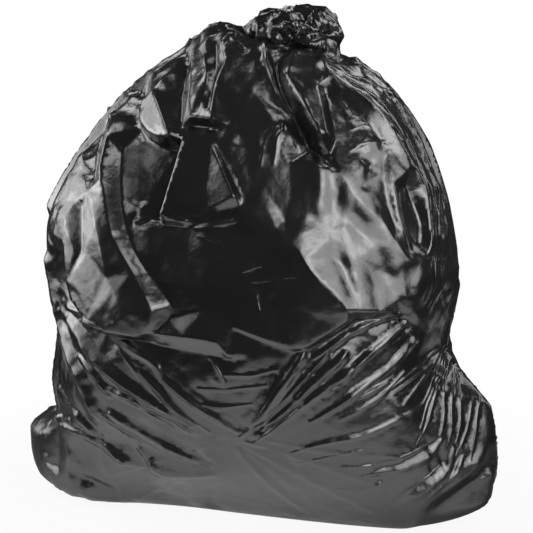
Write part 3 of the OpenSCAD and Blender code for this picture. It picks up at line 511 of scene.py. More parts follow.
class Sheet(Patch):
    """The smooth film on a grid."""

    def __init__(self, size):
        self.angles, self.t = grid(*size)
        super().__init__(*np.meshgrid(self.angles, self.t))
        around = np.roll(self.points, -1, 1) - np.roll(self.points, 1, 1)
        self.column = np.maximum(np.linalg.norm(around, axis=-1) / 2, 0.3)
        self.row = np.maximum(np.linalg.norm(np.gradient(self.points, axis=0), axis=-1), 0.3)
        low, high = MOBILE_RINGS
        self.mobile = ramp(self.ring, *low) * (1 - ramp(self.ring, *high))

    def place_of(self, angle, ring):
        """Fractional rows and columns of points given by angle and ring."""
        turned = FRONT_START + (angle - FRONT_START) % 360
        turns = np.r_[self.angles, self.angles[0] + 360]
        columns = np.interp(turned, turns, np.arange(len(turns)))
        return np.interp(ring, self.t, np.arange(len(self.t))), columns


def outward(points):
    """Outward direction of a creased film."""
    return unit(np.cross(np.roll(points, -1, 1) - np.roll(points, 1, 1), np.gradient(points, axis=0)))


def sample(values, rows, columns):
    """Values of a grid at fractional rows and columns."""
    high, wide = values.shape
    rows = np.clip(rows, 0, high - 1.001)
    columns = np.mod(columns, wide)
    i, j = rows.astype(int), columns.astype(int) % wide
    k = (j + 1) % wide
    f, g = rows - i, columns - np.floor(columns)
    return (values[i, j] * (1 - f) * (1 - g) + values[i + 1, j] * f * (1 - g)
            + values[i, k] * (1 - f) * g + values[i + 1, k] * f * g)


def soften(values, times):
    """Smooths values so many times on a grid that closes round the sack."""
    for _ in range(times):
        values = (values + np.roll(values, 1, 1) + np.roll(values, -1, 1)) / 3
        smooth = values.copy()
        smooth[1:-1] = (values[1:-1] + values[2:] + values[:-2]) / 3
        values = smooth
    return values


def cell_noise(points, seed, width):
    """Smooth noise in space, with features of about the given width."""
    random = np.random.RandomState(seed)
    total = np.zeros(points.shape[:-1])
    for _ in range(3):
        turn = np.linalg.qr(random.normal(size=(3, 3)))[0]
        place = (points / width) @ turn + random.uniform(0, 100, 3)
        table = random.uniform(-1, 1, 4096)
        base = np.floor(place).astype(int)
        share = place - base
        share = share * share * (3 - 2 * share)
        for corner in np.ndindex(2, 2, 2):
            i, j, k = np.moveaxis(base + np.array(corner), -1, 0)
            weight = np.prod(np.where(corner, share, 1 - share), axis=-1)
            total += weight * table[(i * 73856093 ^ j * 19349663 ^ k * 83492791) & 4095]
    return total / total.std()


def along_flow(values, flow, sheet, length):
    """Smooths values along the flow over about the given length, which turns noise into streaks."""
    i, j = np.meshgrid(np.arange(values.shape[0]), np.arange(values.shape[1]), indexing="ij")
    step = 3.0
    while step < length:
        rows, columns = flow[1] * step / sheet.row, flow[0] * step / sheet.column
        values = (values + sample(values, i + rows, j + columns) + sample(values, i - rows, j - columns)) / 3
        step *= 1.7
    return values / values.std()


def direction(azimuth, elevation):
    """Unit vector of a direction: azimuth from the front towards the right, and elevation, in degrees."""
    turn, tilt = math.radians(azimuth), math.radians(elevation)
    return (math.sin(turn) * math.cos(tilt), -math.cos(turn) * math.cos(tilt), math.sin(tilt))


class Picture:
    """The camera's view of the smooth film, from the front or, mirrored, from the back."""

    def __init__(self, sheet, behind=False):
        azimuth = AZIMUTH + (180 if behind else 0)
        turn = math.radians(azimuth)
        back = np.array(direction(azimuth, ELEVATION))
        self.right = np.array([math.cos(turn), math.sin(turn), 0])
        self.up = np.cross(back, self.right)
        place = np.array([0, 0, AIM_HEIGHT]) + back * DISTANCE
        offset = sheet.points - place
        self.zoom = LENS / SENSOR * PHOTO_SIZE / -(offset @ back)
        self.x = PHOTO_SIZE / 2 + self.zoom * (offset @ self.right)
        self.y = PHOTO_SIZE / 2 - self.zoom * (offset @ self.up)
        self.mirror = behind
        if behind:
            sway_size, sway_pace, sway_start = BACK_SWAY
            self.x = PHOTO_SIZE - self.x + sway_size * np.sin(np.radians(sway_pace * self.y + sway_start))
            self.y = self.y + BACK_SHIFT * np.sin(np.radians(BACK_SHIFT_PACE * (self.y - BACK_SHIFT_TOP)))
        facing = (sheet.out * unit(-offset)).sum(-1)
        self.seen = ramp(facing, *SEEN_FACING)
        self.shown = facing > SHOWN_FACING


def smooth_line(points):
    """Catmull-Rom curve through points of a pleat."""
    p = np.array(points, float)
    if len(p) < 3:
        return p
    line = []
    for k in range(len(p) - 1):
        a, b, c, d = p[max(k - 1, 0)], p[k], p[k + 1], p[min(k + 2, len(p) - 1)]
        count = max(int(np.hypot(*(c - b)[:2]) // 9), 1)
        for f in np.arange(count) / count:
            line.append(0.5 * (2 * b + (c - a) * f + (2 * a - 5 * b + 4 * c - d) * f**2
                               + (3 * b - a - 3 * c + d) * f**3))
    line.append(p[-1])
    return np.array(line)


def crease_lines():
    """The creases as arrays of points, the curved ones rounded."""
    return [smooth_line(line) if name in CURVED else np.array(line, float) for name, line in CREASES.items()]


def nearest(x, y, line):
    """Distance to a line in the picture, its height there and its direction."""
    distance = np.full(x.shape, 1e9)
    height, dx, dy = np.zeros(x.shape), np.zeros(x.shape), np.zeros(x.shape)
    for a, b in zip(line[:-1], line[1:]):
        ex, ey = b[0] - a[0], b[1] - a[1]
        length = max(math.hypot(ex, ey), 1e-6)
        share = np.clip(((x - a[0]) * ex + (y - a[1]) * ey) / length**2, 0, 1)
        away = np.hypot(x - a[0] - share * ex, y - a[1] - share * ey)
        closer = away < distance
        distance = np.where(closer, away, distance)
        height = np.where(closer, a[2] + share * (b[2] - a[2]), height)
        dx = np.where(closer, ex / length, dx)
        dy = np.where(closer, ey / length, dy)
    return distance, height, dx, dy


def net_points(calm):
    """Corners of the facets between the creases, their heights, and the edges along the creases."""
    points, heights, edges = [], [], []
    lines = crease_lines()
    for line in lines:
        previous = None
        for px, py, high in line:
            same = [k for k, q in enumerate(points) if math.hypot(q[0] - px, q[1] - py) < SAME_SPOT]
            if not same:
                points.append((px, py))
                heights.append(high)
            index = same[0] if same else len(points) - 1
            if previous is not None and previous != index:
                edges.append((previous, index))
            previous = index
    random = np.random.RandomState(NET_SEED)
    for px in np.arange(*NET_AREA, NET_STEP):
        for py in np.arange(*NET_AREA, NET_STEP):
            spot = np.array([[px, py]]) + random.uniform(-NET_STRAY, NET_STRAY, (1, 2))
            high = random.uniform(-calm, calm)
            if min(nearest(spot[:, 0], spot[:, 1], line)[0][0] for line in lines) > NET_CLEAR:
                points.append(tuple(spot[0]))
                heights.append(high)
    for corner in NET_CORNERS:
        points.append(corner)
        heights.append(0.0)
    return points, heights, edges


def crease_net(x, y, calm):
    """Height of the film over the picture: flat facets between all the creases."""
    points, heights, edges = net_points(calm)
    places, _, facets, sources, _, _ = delaunay_2d_cdt([Vector(p) for p in points], edges, [], 0, 0.01)
    level = np.array([
        max((heights[s] for s in source), key=abs) if source
        else crossing_height(place, points, heights, edges)
        for place, source in zip(places, sources)])
    result = np.zeros(x.shape)
    for facet in facets:
        a, b, c = [np.array(places[k]) for k in facet]
        low, high = np.min([a, b, c], axis=0), np.max([a, b, c], axis=0)
        inside = np.flatnonzero((x >= low[0]) & (x <= high[0]) & (y >= low[1]) & (y <= high[1]))
        area = (b[1] - c[1]) * (a[0] - c[0]) + (c[0] - b[0]) * (a[1] - c[1])
        if not len(inside) or abs(area) < 1e-9:
            continue
        u, v = x[inside], y[inside]
        first = ((b[1] - c[1]) * (u - c[0]) + (c[0] - b[0]) * (v - c[1])) / area
        second = ((c[1] - a[1]) * (u - c[0]) + (a[0] - c[0]) * (v - c[1])) / area
        third = 1 - first - second
        hit = (first > -1e-6) & (second > -1e-6) & (third > -1e-6)
        height = first * level[facet[0]] + second * level[facet[1]] + third * level[facet[2]]
        result[inside[hit]] = height[hit]
    return result


def crossing_height(place, points, heights, edges):
    """Height where two creases cross."""
    found = 0.0
    for a, b in edges:
        start, along = np.array(points[a]), np.array(points[b]) - np.array(points[a])
        length = np.linalg.norm(along)
        rel = np.array(place) - start
        share = rel @ along / length**2
        if 0 <= share <= 1 and abs(rel[0] * along[1] - rel[1] * along[0]) / length < 0.3:
            high = heights[a] * (1 - share) + heights[b] * share
            found = high if abs(high) > abs(found) else found
    return found


class Folds:
    """Drawn height, flow direction and how strongly the film is gathered, at the points of a patch."""

    def __init__(self, patch):
        shape = patch.angle.shape
        self.height = np.zeros(shape)
        self.xx, self.xy, self.yy = np.zeros(shape), np.zeros(shape), np.full(shape, 0.02)
        self.gather = np.zeros(shape)

    def add_flow(self, place, weight, dx, dy, gathered=1.0):
        self.xx[place] += weight * dx * dx
        self.xy[place] += weight * dx * dy
        self.yy[place] += weight * dy * dy
        self.gather[place] = np.maximum(self.gather[place], gathered * weight**0.5)


class Slope:
    """Turns a small step in the picture into steps along the film, in millimetres."""

    def __init__(self, patch, picture, place):
        side = -1 if picture.mirror else 1
        zoom = picture.zoom[place]
        self.right_east = side * zoom * (patch.east[place] @ picture.right)
        self.right_north = side * zoom * (patch.north[place] @ picture.right)
        self.down_east = -zoom * (patch.east[place] @ picture.up)
        self.down_north = -zoom * (patch.north[place] @ picture.up)
        area = self.right_east * self.down_north - self.right_north * self.down_east
        self.area = np.where(np.abs(area) < 0.05, 0.05, area)

    def step(self, near, dx, dy):
        east = (self.down_north[near] * dx - self.right_north[near] * dy) / self.area[near]
        north = (-self.down_east[near] * dx + self.right_east[near] * dy) / self.area[near]
        return east, north


def narrowed(half, height, highest):
    """Half width of a pleat, which narrows with its height towards both ends."""
    return half * np.clip(height / highest, 0.3, 1.0)


def draw_picture(folds, patch, picture, settings):
    """Adds the creases and pleats that the photograph shows."""
    shown = np.nonzero(picture.shown)
    slope = Slope(patch, picture, shown)
    x, y, seen = picture.x[shown], picture.y[shown], picture.seen[shown]
    raised = np.zeros(x.shape)
    for half, line in [(0, line) for line in crease_lines()] + list(PLEATS.values()):
        curve = smooth_line(line) if half else line
        reach = max(half, NARROWEST) * PLEAT_REACH / MM_PER_PIXEL if half else CREASE_REACH
        low, high = curve[:, :2].min(axis=0) - reach, curve[:, :2].max(axis=0) + reach
        near = np.flatnonzero((x > low[0]) & (x < high[0]) & (y > low[1]) & (y < high[1]))
        distance, height, dx, dy = nearest(x[near], y[near], curve)
        if half:
            width = narrowed(half, height, curve[:, 2].max())
            profile = np.clip(1 - distance * MM_PER_PIXEL / width, 0, 1)
            raised[near] = np.maximum(raised[near], profile * height * settings.pleat_height)
        east, north = slope.step(near, dx, dy)
        size = np.maximum(np.hypot(east, north), 1e-6)
        weight = np.clip(1 - distance / reach, 0, 1) ** 2 * (1.0 if half else CREASE_FLOW) * seen[near]
        spot = tuple(k[near] for k in shown)
        folds.add_flow(spot, weight, east / size, north / size, 1.0 if half else CREASE_GATHER)
    net = crease_net(x, y, settings.calm)
    for half, line in DENTS.values():
        distance, height, _, _ = nearest(x, y, smooth_line(line))
        net += height * np.clip(1 - (distance * MM_PER_PIXEL / half) ** 2, 0, 1) ** 2
    folds.height[shown] += (net * settings.crease_height + raised) * seen


def draw_fold(folds, patch, half, high, line, weight, raised):
    """Draws a fold given by angles and rings into raised, where the higher of two folds stands."""
    turns, rings = [p[0] for p in line], [p[1] for p in line]
    middle, reach = (max(turns) + min(turns)) / 2, (max(turns) - min(turns)) / 2 + 40
    place = np.nonzero((patch.ring > min(rings) - 1.5) & (patch.ring < max(rings) + 1.5)
                       & (np.abs(wrapped(patch.angle - middle)) < reach))
    angle, ring = patch.angle[place], patch.ring[place]
    best, near, dx, dy = [np.zeros(angle.shape) for _ in range(4)]
    for a, b in zip(line[:-1], line[1:]):
        x = wrapped(angle - a[0]) * patch.per_degree[place]
        y = (ring - a[1]) * patch.per_ring[place]
        ex, ey = (b[0] - a[0]) * patch.per_degree[place], (b[1] - a[1]) * patch.per_ring[place]
        length = np.maximum(np.hypot(ex, ey), 1e-3)
        share = np.clip((x * ex + y * ey) / length**2, 0, 1)
        away = np.hypot(x - share * ex, y - share * ey)
        rounded = np.sqrt(away**2 + FOLD_TOP**2) - FOLD_TOP
        best = np.maximum(best, np.clip(1 - rounded / half, 0, 1) ** FOLD_POWER)
        close = np.clip(1 - away / (half * FOLD_REACH), 0, 1) ** 2
        closer = close > near
        near = np.where(closer, close, near)
        dx, dy = np.where(closer, ex / length, dx), np.where(closer, ey / length, dy)
    layer = raised[0 if high > 0 else 1]
    layer[place] = (np.maximum if high > 0 else np.minimum)(layer[place], best * high)
    folds.add_flow(place, near * weight[place], dx, dy)


def drape(middle, k, n):
    """A fold that hangs from the neck down one side: half width, height and its line."""
    start, spread = middle + 7 * (k - 4) + 2 * sway(n), (k - 4) * (3 + 2 * sway(n + 3))
    high = DRAPE_DEPTH * (1 + 0.3 * sway(n + 17)) * (1 if k % 3 else -1)
    line = [(start, 12.2),
            (start + 0.5 * spread + 3 * sway(n + 5), 10.3 + 0.7 * sway(n + 7)),
            (start + spread, 7.5 + 1.1 * sway(n + 11))]
    return 15 + 4 * sway(n + 13), high, line


def low_fold(middle, k, n):
    """A fold that runs into a corner of the base: half width, height and its line."""
    slant = 5 * (k - 3.5)
    high = LOW_FOLD_DEPTH * (1 + 0.3 * sway(n + 9)) * (-1 if k % 3 == 1 else 1)
    line = [(middle + 0.5 * slant + 2 * sway(n + 2), 6.7 + 0.7 * sway(n + 4)),
            (middle + 1.3 * slant, 4.8 + 0.4 * sway(n + 6)),
            (middle + slant * (1.6 - 1.6 * (k % 2)) + 3 * sway(n + 8), 3.2 + 0.4 * sway(n + 10))]
    return 13 + 3 * sway(n + 1), high, line


def draw_sides(folds, patch, unseen):
    """Adds the folds of the two sides, which the photograph doesn't show: drapes and folds over the ears."""
    for kind, count in ((drape, SIDE_FOLDS), (low_fold, SIDE_FOLDS - 1)):
        raised = np.zeros((2,) + patch.angle.shape)
        for side in (0, 1):
            for k in range(count):
                half, high, line = kind(SEAM - 180 * side, k, SIDE_FOLDS * side + k)
                draw_fold(folds, patch, half, high, line, unseen, raised)
        folds.height += raised.sum(axis=0) * unseen


def draw_gathers(folds, patch, unseen, count):
    """Adds the uneven gathers that run down from the tied neck."""
    raised = np.zeros((2,) + patch.angle.shape)
    for k in range(count):
        start = -180 + 360 * (k + 0.3 * sway(k)) / count
        line = [(start, 13.3), (start + 4 * sway(k + 2), 12 + 0.4 * sway(k + 4)),
                (start + 8 * sway(k + 6), 10.8 + 0.8 * sway(k + 8))]
        half, high = 9.5 + 2.5 * sway(k + 5), GATHER_DEPTH * (1 + 0.3 * sway(k + 9))
        draw_fold(folds, patch, half, high, line, unseen, raised)
    folds.height += raised.sum(axis=0) * unseen


def knot_grooves(patch):
    """Height of the twist in the knot."""
    start, stop = KNOT_GROOVE_RINGS
    turn = (patch.angle * KNOT_GROOVES / 360 + KNOT_SLANT * (patch.ring - start[0])
            + KNOT_SWAY * np.sin(np.radians(2 * patch.angle)))
    wave = np.abs(2 * (turn - np.floor(turn)) - 1) * 2 - 1
    return KNOT_GROOVE * (wave - 0.2) * ramp(patch.ring, *start) * (1 - ramp(patch.ring, *stop))


def draw_folds(patch, settings):
    """All folds at the points of a patch."""
    folds = Folds(patch)
    unseen = np.ones(patch.angle.shape)
    for behind in (False, True):
        picture = Picture(patch, behind)
        draw_picture(folds, patch, picture, settings)
        unseen = unseen * (1 - picture.seen)
    draw_sides(folds, patch, unseen)
    draw_gathers(folds, patch, np.maximum(unseen, 0.25), settings.gathers)
    folds.height += knot_grooves(patch)
    folds.height *= patch.drawn
    return folds


def flat_lengths():
    """Rings and the length of film up to each, for laying the film flat."""
    t = np.linspace(FIRST_RING, LAST_RING, 3000)
    lengths = []
    for angle in LAYING_ANGLES:
        path = skin(np.full_like(t, angle), t)
        lengths.append(np.r_[0, np.cumsum(np.linalg.norm(np.diff(path, axis=0), axis=1))])
    return t, np.mean(lengths, axis=0)


def fold_marks():
    """Lines in the picture along both rims of every fold's edge, and along the pleats' flanks and feet."""
    for half, line in [(0, line) for line in crease_lines()] + list(PLEATS.values()):
        curve = smooth_line(line) if half else line
        lengths = np.r_[0, np.cumsum(np.hypot(*np.diff(curve[:, :2], axis=0).T))]
        count = max(int(lengths[-1] * MM_PER_PIXEL / (1.1 * SPACING[0])), 1)
        stops = np.unique(np.r_[np.linspace(0, lengths[-1], count + 1), [] if half else lengths])
        stops = stops[np.r_[True, np.diff(stops) > 0.6]]
        px, py, high = [np.interp(stops, lengths, curve[:, k]) for k in range(3)]
        dx, dy = (np.gradient(px, stops), np.gradient(py, stops)) if len(stops) > 1 else (px, py)
        size = np.maximum(np.hypot(dx, dy), 1e-6)
        offsets = [np.full(len(stops), k * EDGE) for k in (-1, 1)]
        if half:
            foot = narrowed(half, high, curve[:, 2].max())
            offsets = [k * PLEAT_EDGE for k in offsets] + [k * foot for k in (-1, -MID_FLANK, MID_FLANK, 1)]
        for offset in offsets:
            shift = offset / size / MM_PER_PIXEL
            yield np.stack([px - dy * shift, py + dx * shift])


def fold_lines(sheet, behind):
    """The marks of all folds as lines on the film: angles, rings and which of them the camera sees."""
    marks = list(fold_marks())
    x, y = np.concatenate(marks, axis=1)
    picture = Picture(sheet, behind)
    seen = np.flatnonzero(picture.shown.ravel())
    finder = KDTree(len(seen))
    for k, spot in enumerate(zip(picture.x.ravel()[seen].tolist(), picture.y.ravel()[seen].tolist())):
        finder.insert((*spot, 0), k)
    finder.balance()
    index = seen[[finder.find((u, v, 0))[1] for u, v in zip(x.tolist(), y.tolist())]]
    angle, ring = sheet.angle.ravel()[index], sheet.ring.ravel()[index]
    for _ in range(4):
        patch = Patch(angle, ring)
        picture = Picture(patch, behind)
        slope = Slope(patch, picture, slice(None))
        east, north = slope.step(slice(None), x - picture.x, y - picture.y)
        angle = angle + np.clip(east / patch.per_degree, -1.5, 1.5)
        ring = np.clip(ring + np.clip(north / patch.per_ring, -0.1, 0.1), 0, LAST)
    picture = Picture(Patch(angle, ring), behind)
    good = (picture.seen > 0.25) & (np.hypot(x - picture.x, y - picture.y) < 0.5)
    cuts = np.cumsum([mark.shape[1] for mark in marks])[:-1]
    return zip(np.split(angle, cuts), np.split(ring, cuts), np.split(good, cuts))


def fold_points(sheet, rings, lengths):
    """Points and edges along the folds on the film laid flat."""
    flat, edges = [], []
    for behind in (False, True):
        for angle, ring, good in fold_lines(sheet, behind):
            across = (angle - SEAM) % 360 * FLAT_DEGREE
            up = np.interp(ring, rings, lengths)
            good = (good & (across > BORDER) & (across < 360 * FLAT_DEGREE - BORDER)
                    & (up > BORDER) & (up < lengths[-1] - BORDER))
            start = len(flat)
            number = np.cumsum(good) - 1 + start
            flat.extend(zip(across[good].tolist(), up[good].tolist()))
            joined = good[:-1] & good[1:] & (np.abs(np.diff(across)) < LONGEST_EDGE)
            edges.extend(zip(number[:-1][joined].tolist(), number[1:][joined].tolist()))
    return flat, edges


def row_points(stop, number, at_end, rings, lengths, random):
    """Points of one row of the film laid flat, which stray a little but for the first and last row."""
    turn = np.arange(0, 360, 1.5)
    ring = np.interp(stop, lengths, rings)
    path = skin(SEAM + turn, np.full(turn.shape, ring))
    pace = np.linalg.norm(np.roll(path, -1, 0) - path, axis=1)
    behind = np.cos(np.radians(SEAM + turn - 90)) > -0.08
    pace = np.r_[0, np.cumsum(pace / np.where(behind, SPACING[1], SPACING[0]))]
    count = max(int(pace[-1]), FEWEST_POINTS)
    stray = 0 if at_end else 1
    share = np.arange(1, count) + stray * 0.5 * (number % 2)
    share = share + stray * random.uniform(-JITTER, JITTER, count - 1)
    across = np.interp(share * pace[-1] / count, pace, np.r_[turn, 360]) * FLAT_DEGREE
    up = np.full(across.shape, stop) + stray * random.uniform(-JITTER, JITTER, count - 1) * SPACING[0]
    return across, up


def film_points(sheet):
    """Places on the film laid flat, its triangles, whose edges run along the folds, and its two borders."""
    rings, lengths = flat_lengths()
    random = np.random.RandomState(JITTER_SEED)
    flat, edges = fold_points(sheet, rings, lengths)
    ends = np.array(flat)[np.array(edges)]
    marked = np.concatenate([flat] + [ends[:, 0] * (1 - f) + ends[:, 1] * f for f in (0.25, 0.5, 0.75)])
    finder = KDTree(len(marked))
    for k, spot in enumerate(marked.tolist()):
        finder.insert((*spot, 0), k)
    finder.balance()
    stops = np.linspace(0, lengths[-1], int(lengths[-1] / SPACING[0]) + 1)
    borders = []
    for k, stop in enumerate(stops):
        at_end = k in (0, len(stops) - 1)
        across, up = row_points(stop, k, at_end, rings, lengths, random)
        borders.append((len(flat), len(flat) + 1))
        flat.extend([(0.0, float(stop)), (360 * FLAT_DEGREE, float(stop))])
        for u, v in zip(across.tolist(), up.tolist()):
            if at_end or finder.find((u, v, 0))[2] > 0.5 * SPACING[0]:
                flat.append((u, v))
    places, _, facets, sources, _, _ = delaunay_2d_cdt([Vector(q) for q in flat], edges, [], 0, 0.02)
    spots = np.array([tuple(q) for q in places])
    return spots, np.array(facets), sources, borders, rings, lengths


# Neighbours that a point's edges run to, as rows and columns on
NEIGHBOURS = ((0, 1), (1, 0), (1, 1), (1, -1))


def shifted(values, rows, columns):
    """Values of the neighbour that lies so many rows and columns on."""
    values = values[rows:] if rows else values
    return np.roll(values, -columns, axis=1) if columns else values


def relax(start, out, sheet, growth, way):
    """Lets the film take up its spare length: edges seek their length, and sharp bends become creases."""
    rest = start.astype(np.float32)
    points = rest.copy()
    before = rest.copy()
    out = out.astype(np.float32)
    free = sheet.mobile[..., None].astype(np.float32)
    square = np.minimum(sheet.column / sheet.row, sheet.row / sheet.column).astype(np.float32)
    rows = points.shape[0]
    lengths = []
    for di, dj in NEIGHBOURS:
        edge = shifted(rest, di, dj) - rest[:rows - di]
        lengths.append((np.sqrt((edge**2).sum(-1)), growth(di, dj).astype(np.float32)))
    round_rest = np.roll(rest, -1, 1) + np.roll(rest, 1, 1) - 2 * rest
    up_rest = rest[2:] + rest[:-2] - 2 * rest[1:-1]
    for step in range(way["steps"]):
        grown = min(1.0, (step + 1) / (way["growing"] * way["steps"]))
        motion = (points - before) * way["momentum"]
        before = points.copy()
        points = points + motion * free
        change = np.zeros_like(points)
        for (di, dj), (length, spare) in zip(NEIGHBOURS, lengths):
            edge = shifted(points, di, dj) - points[:rows - di]
            now = np.sqrt((edge**2).sum(-1)) + 1e-6
            weight = way["diagonal"] * square[:rows - di, :, None] if di and dj else way["straight"]
            pull = edge * weight * ((now - length * (1 + spare * grown)) / now)[..., None]
            change[:rows - di] += pull
            change[di:] -= np.roll(pull, dj, axis=1) if dj else pull
        points += free * change * way["taken"]
        bend = np.roll(points, -1, 1) + np.roll(points, 1, 1) - 2 * points - round_rest
        bend /= 1 + (bend**2).sum(-1, keepdims=True) / way["crease"] ** 2
        beside = np.roll(bend, 1, 1) + np.roll(bend, -1, 1)
        points += free * way["stiffness"] * (bend * 0.5 - 0.25 * beside)
        bend = np.zeros_like(points)
        bend[1:-1] = points[2:] + points[:-2] - 2 * points[1:-1] - up_rest
        bend /= 1 + (bend**2).sum(-1, keepdims=True) / way["crease"] ** 2
        flat = bend * 0.5
        flat[1:] -= 0.25 * bend[:-1]
        flat[:-1] -= 0.25 * bend[1:]
        points += free * way["stiffness"] * flat
        away = points - rest
        height = (away * out).sum(-1, keepdims=True)
        kept = np.clip(height * (1 - way["pull"]), -way["cap"], way["cap"])
        points = rest + kept * out + (away - height * out) * way["slide"]
        points[..., 2] = np.maximum(points[..., 2], 0)
    return points


def loosened(sheet, folds, settings):
    """Streaks on the drawing grid, and how far the coarser grid moves as it relaxes."""
    angle = 0.5 * np.arctan2(2 * soften(folds.xy, FLOW_SOFTEN), soften(folds.xx - folds.yy, FLOW_SOFTEN))
    flow = (np.cos(angle), np.sin(angle))
    gather = soften(np.clip(folds.gather, 0, 1), GATHER_SOFTEN)
    calm = settings.calm_share + (1 - settings.calm_share) * gather**1.5
    streaks = [along_flow(cell_noise(sheet.points, seed, width), flow, sheet, length) * height * calm
               for seed, width, length, height in STREAKS]
    knot = cell_noise(sheet.points, *KNOT_CRUMPLES[:2]) * KNOT_CRUMPLES[2]
    coarse = Sheet(COARSE_GRID)
    rows, columns = sheet.place_of(coarse.angle, coarse.ring)
    drawn, streak, east, north, strength = [
        sample(values, rows, columns) for values in (
            soften(folds.height, WAY["soften"]), sum(streaks[:2]), flow[0], flow[1], gather)]
    size = np.maximum(np.hypot(east, north), 1e-6)
    east, north = east / size, north / size
    shape = coarse.points + coarse.out * (drawn + streak * coarse.fade)[..., None]
    shape[..., 2] = np.maximum(shape[..., 2], 0)

    def growth(di, dj):
        count = coarse.points.shape[0] - di
        edge = unit(shifted(coarse.points, di, dj) - coarse.points[:count])
        across = ((edge * coarse.east[:count]).sum(-1) * -north[:count]
                  + (edge * coarse.north[:count]).sum(-1) * east[:count]) ** 2
        tight = WAY["tight"] * (1 - across) * np.clip(strength[:count] * WAY["onset"], 0, 1)
        return (WAY["spare"] * settings.spare_film * strength[:count] * across - tight) * coarse.fade[:count]

    moved = relax(shape, outward(shape), coarse, growth, WAY) - shape
    detail = sum(streaks) * sheet.fade + knot * (sheet.drawn - sheet.fade).clip(0)
    return detail, coarse, moved


def film_surface(settings):
    """The creased film as points in millimetres and triangles."""
    sheet = Sheet(DRAWING_GRID)
    detail, coarse, moved = loosened(sheet, draw_folds(sheet, settings), settings)
    spots, triangles, sources, borders, rings, lengths = film_points(sheet)
    patch = Patch(SEAM + spots[:, 0] / FLAT_DEGREE, np.interp(spots[:, 1], lengths, rings))
    folds = draw_folds(patch, settings)
    rows, columns = sheet.place_of(patch.angle, patch.ring)
    height = folds.height + sample(detail, rows, columns)
    rows, columns = coarse.place_of(patch.angle, patch.ring)
    slack = np.stack([sample(moved[..., k], rows, columns) for k in range(3)], -1)
    points = patch.points + patch.out * height[:, None] + slack
    points[:, 2] = np.maximum(points[:, 2], 0)
    # The two borders of the flat film are one seam on the sack
    number = {s: k for k, group in enumerate(sources) for s in group}
    same = np.arange(len(points))
    for left, right in borders:
        same[number[right]] = number[left]
    triangles = same[triangles]
    loops = []
    for level in (0.0, lengths[-1]):
        row = np.flatnonzero((np.abs(spots[:, 1] - level) < 1e-3) & (same == np.arange(len(points))))
        loops.append(row[np.argsort(spots[row, 0])])
    return points, triangles, loops


def sack_centre():
    """Middle of the smooth film's outline on the floor, which the part's frame has at its origin."""
    points = Sheet(COARSE_GRID).points
    return np.array([(points[..., k].max() + points[..., k].min()) / 2 for k in (0, 1)] + [0.0])


def film_mesh(name, settings):
    """The film as one closed mesh in metres, with its base on the floor and its middle at the origin."""
    points, triangles, (foot, crown) = film_surface(settings)
    base = [points[foot, 0].mean(), points[foot, 1].mean(), 0]
    top = [points[crown, 0].mean(), points[crown, 1].mean(), points[crown, 2].max() + 1.0]
    used = np.unique(triangles)
    order = np.zeros(len(points), int)
    order[used] = np.arange(len(used))
    last = len(used)
    vertices = (np.concatenate([points[used], [base, top]]) - sack_centre()) / METRE
    faces = order[triangles].tolist()
    for loop, tip, turn in ((order[foot], last, -1), (order[crown], last + 1, 1)):
        faces += [(tip, a, b)[::turn] for a, b in zip(loop.tolist(), np.roll(loop, -1).tolist())]
    mesh = bpy.data.meshes.new(name)
    mesh.from_pydata(vertices.tolist(), [], faces)
    mesh.polygons.foreach_set("use_smooth", np.ones(len(mesh.polygons), bool))
    mesh.update()
    return mesh


def add_node(tree, kind, inputs=None, **properties):
    """Adds a node; an input that is a socket is linked, any other is set."""
    node = tree.nodes.new(kind)
    for key, value in properties.items():
        setattr(node, key, value)
    for key, value in (inputs or {}).items():
        if isinstance(value, bpy.types.NodeSocket):
            tree.links.new(value, node.inputs[key])
        else:
            node.inputs[key].default_value = value
    return node


def film_material(settings):
    """Black, glossy polyethylene film with fine crumples."""
    material = bpy.data.materials.new("glossy black film")
    material.use_nodes = True
    tree = material.node_tree
    tree.nodes.clear()
    place = add_node(tree, "ShaderNodeTexCoord").outputs["Object"]
    wide = add_node(tree, "ShaderNodeTexNoise", {"Vector": place, "Scale": 9.0, "Detail": 3.0})
    fine = add_node(tree, "ShaderNodeTexNoise", {"Vector": place, "Scale": 60.0, "Detail": 7.0,
                                                 "Roughness": 0.6})
    crumple = add_node(tree, "ShaderNodeTexVoronoi", {"Vector": place, "Scale": 55.0}, feature="SMOOTH_F1")
    crumple.inputs["Smoothness"].default_value = 0.35
    share = add_node(tree, "ShaderNodeMapRange", {"Value": wide.outputs["Fac"], "From Min": 0.42,
                                                  "From Max": 0.62})
    folded = add_node(tree, "ShaderNodeMath", {0: crumple.outputs["Distance"], 1: share.outputs[0]},
                      operation="MULTIPLY")
    height = add_node(tree, "ShaderNodeMath", {0: fine.outputs["Fac"], 1: folded.outputs[0]},
                      operation="ADD")
    bump = add_node(tree, "ShaderNodeBump", {"Height": height.outputs[0], "Strength": settings.crumple,
                                             "Distance": 0.0015})
    dull = add_node(tree, "ShaderNodeMapRange", {"Value": wide.outputs["Fac"], "From Min": 0.3,
                                                 "From Max": 0.7, "To Min": settings.roughness - 0.03,
                                                 "To Max": settings.roughness + 0.05})
    colour = add_node(tree, "ShaderNodeMix", {0: wide.outputs["Fac"]}, data_type="RGBA")
    shade = list(settings.colour)
    colour.inputs[6].default_value = shade + [1]
    colour.inputs[7].default_value = [c * 1.5 for c in shade] + [1]
    surface = add_node(tree, "ShaderNodeBsdfPrincipled", {"Base Color": colour.outputs[2],
                                                          "Roughness": dull.outputs[0], "IOR": 1.85,
                                                          "Normal": bump.outputs["Normal"]})
    add_node(tree, "ShaderNodeOutputMaterial", {"Surface": surface.outputs[0]})
    return material


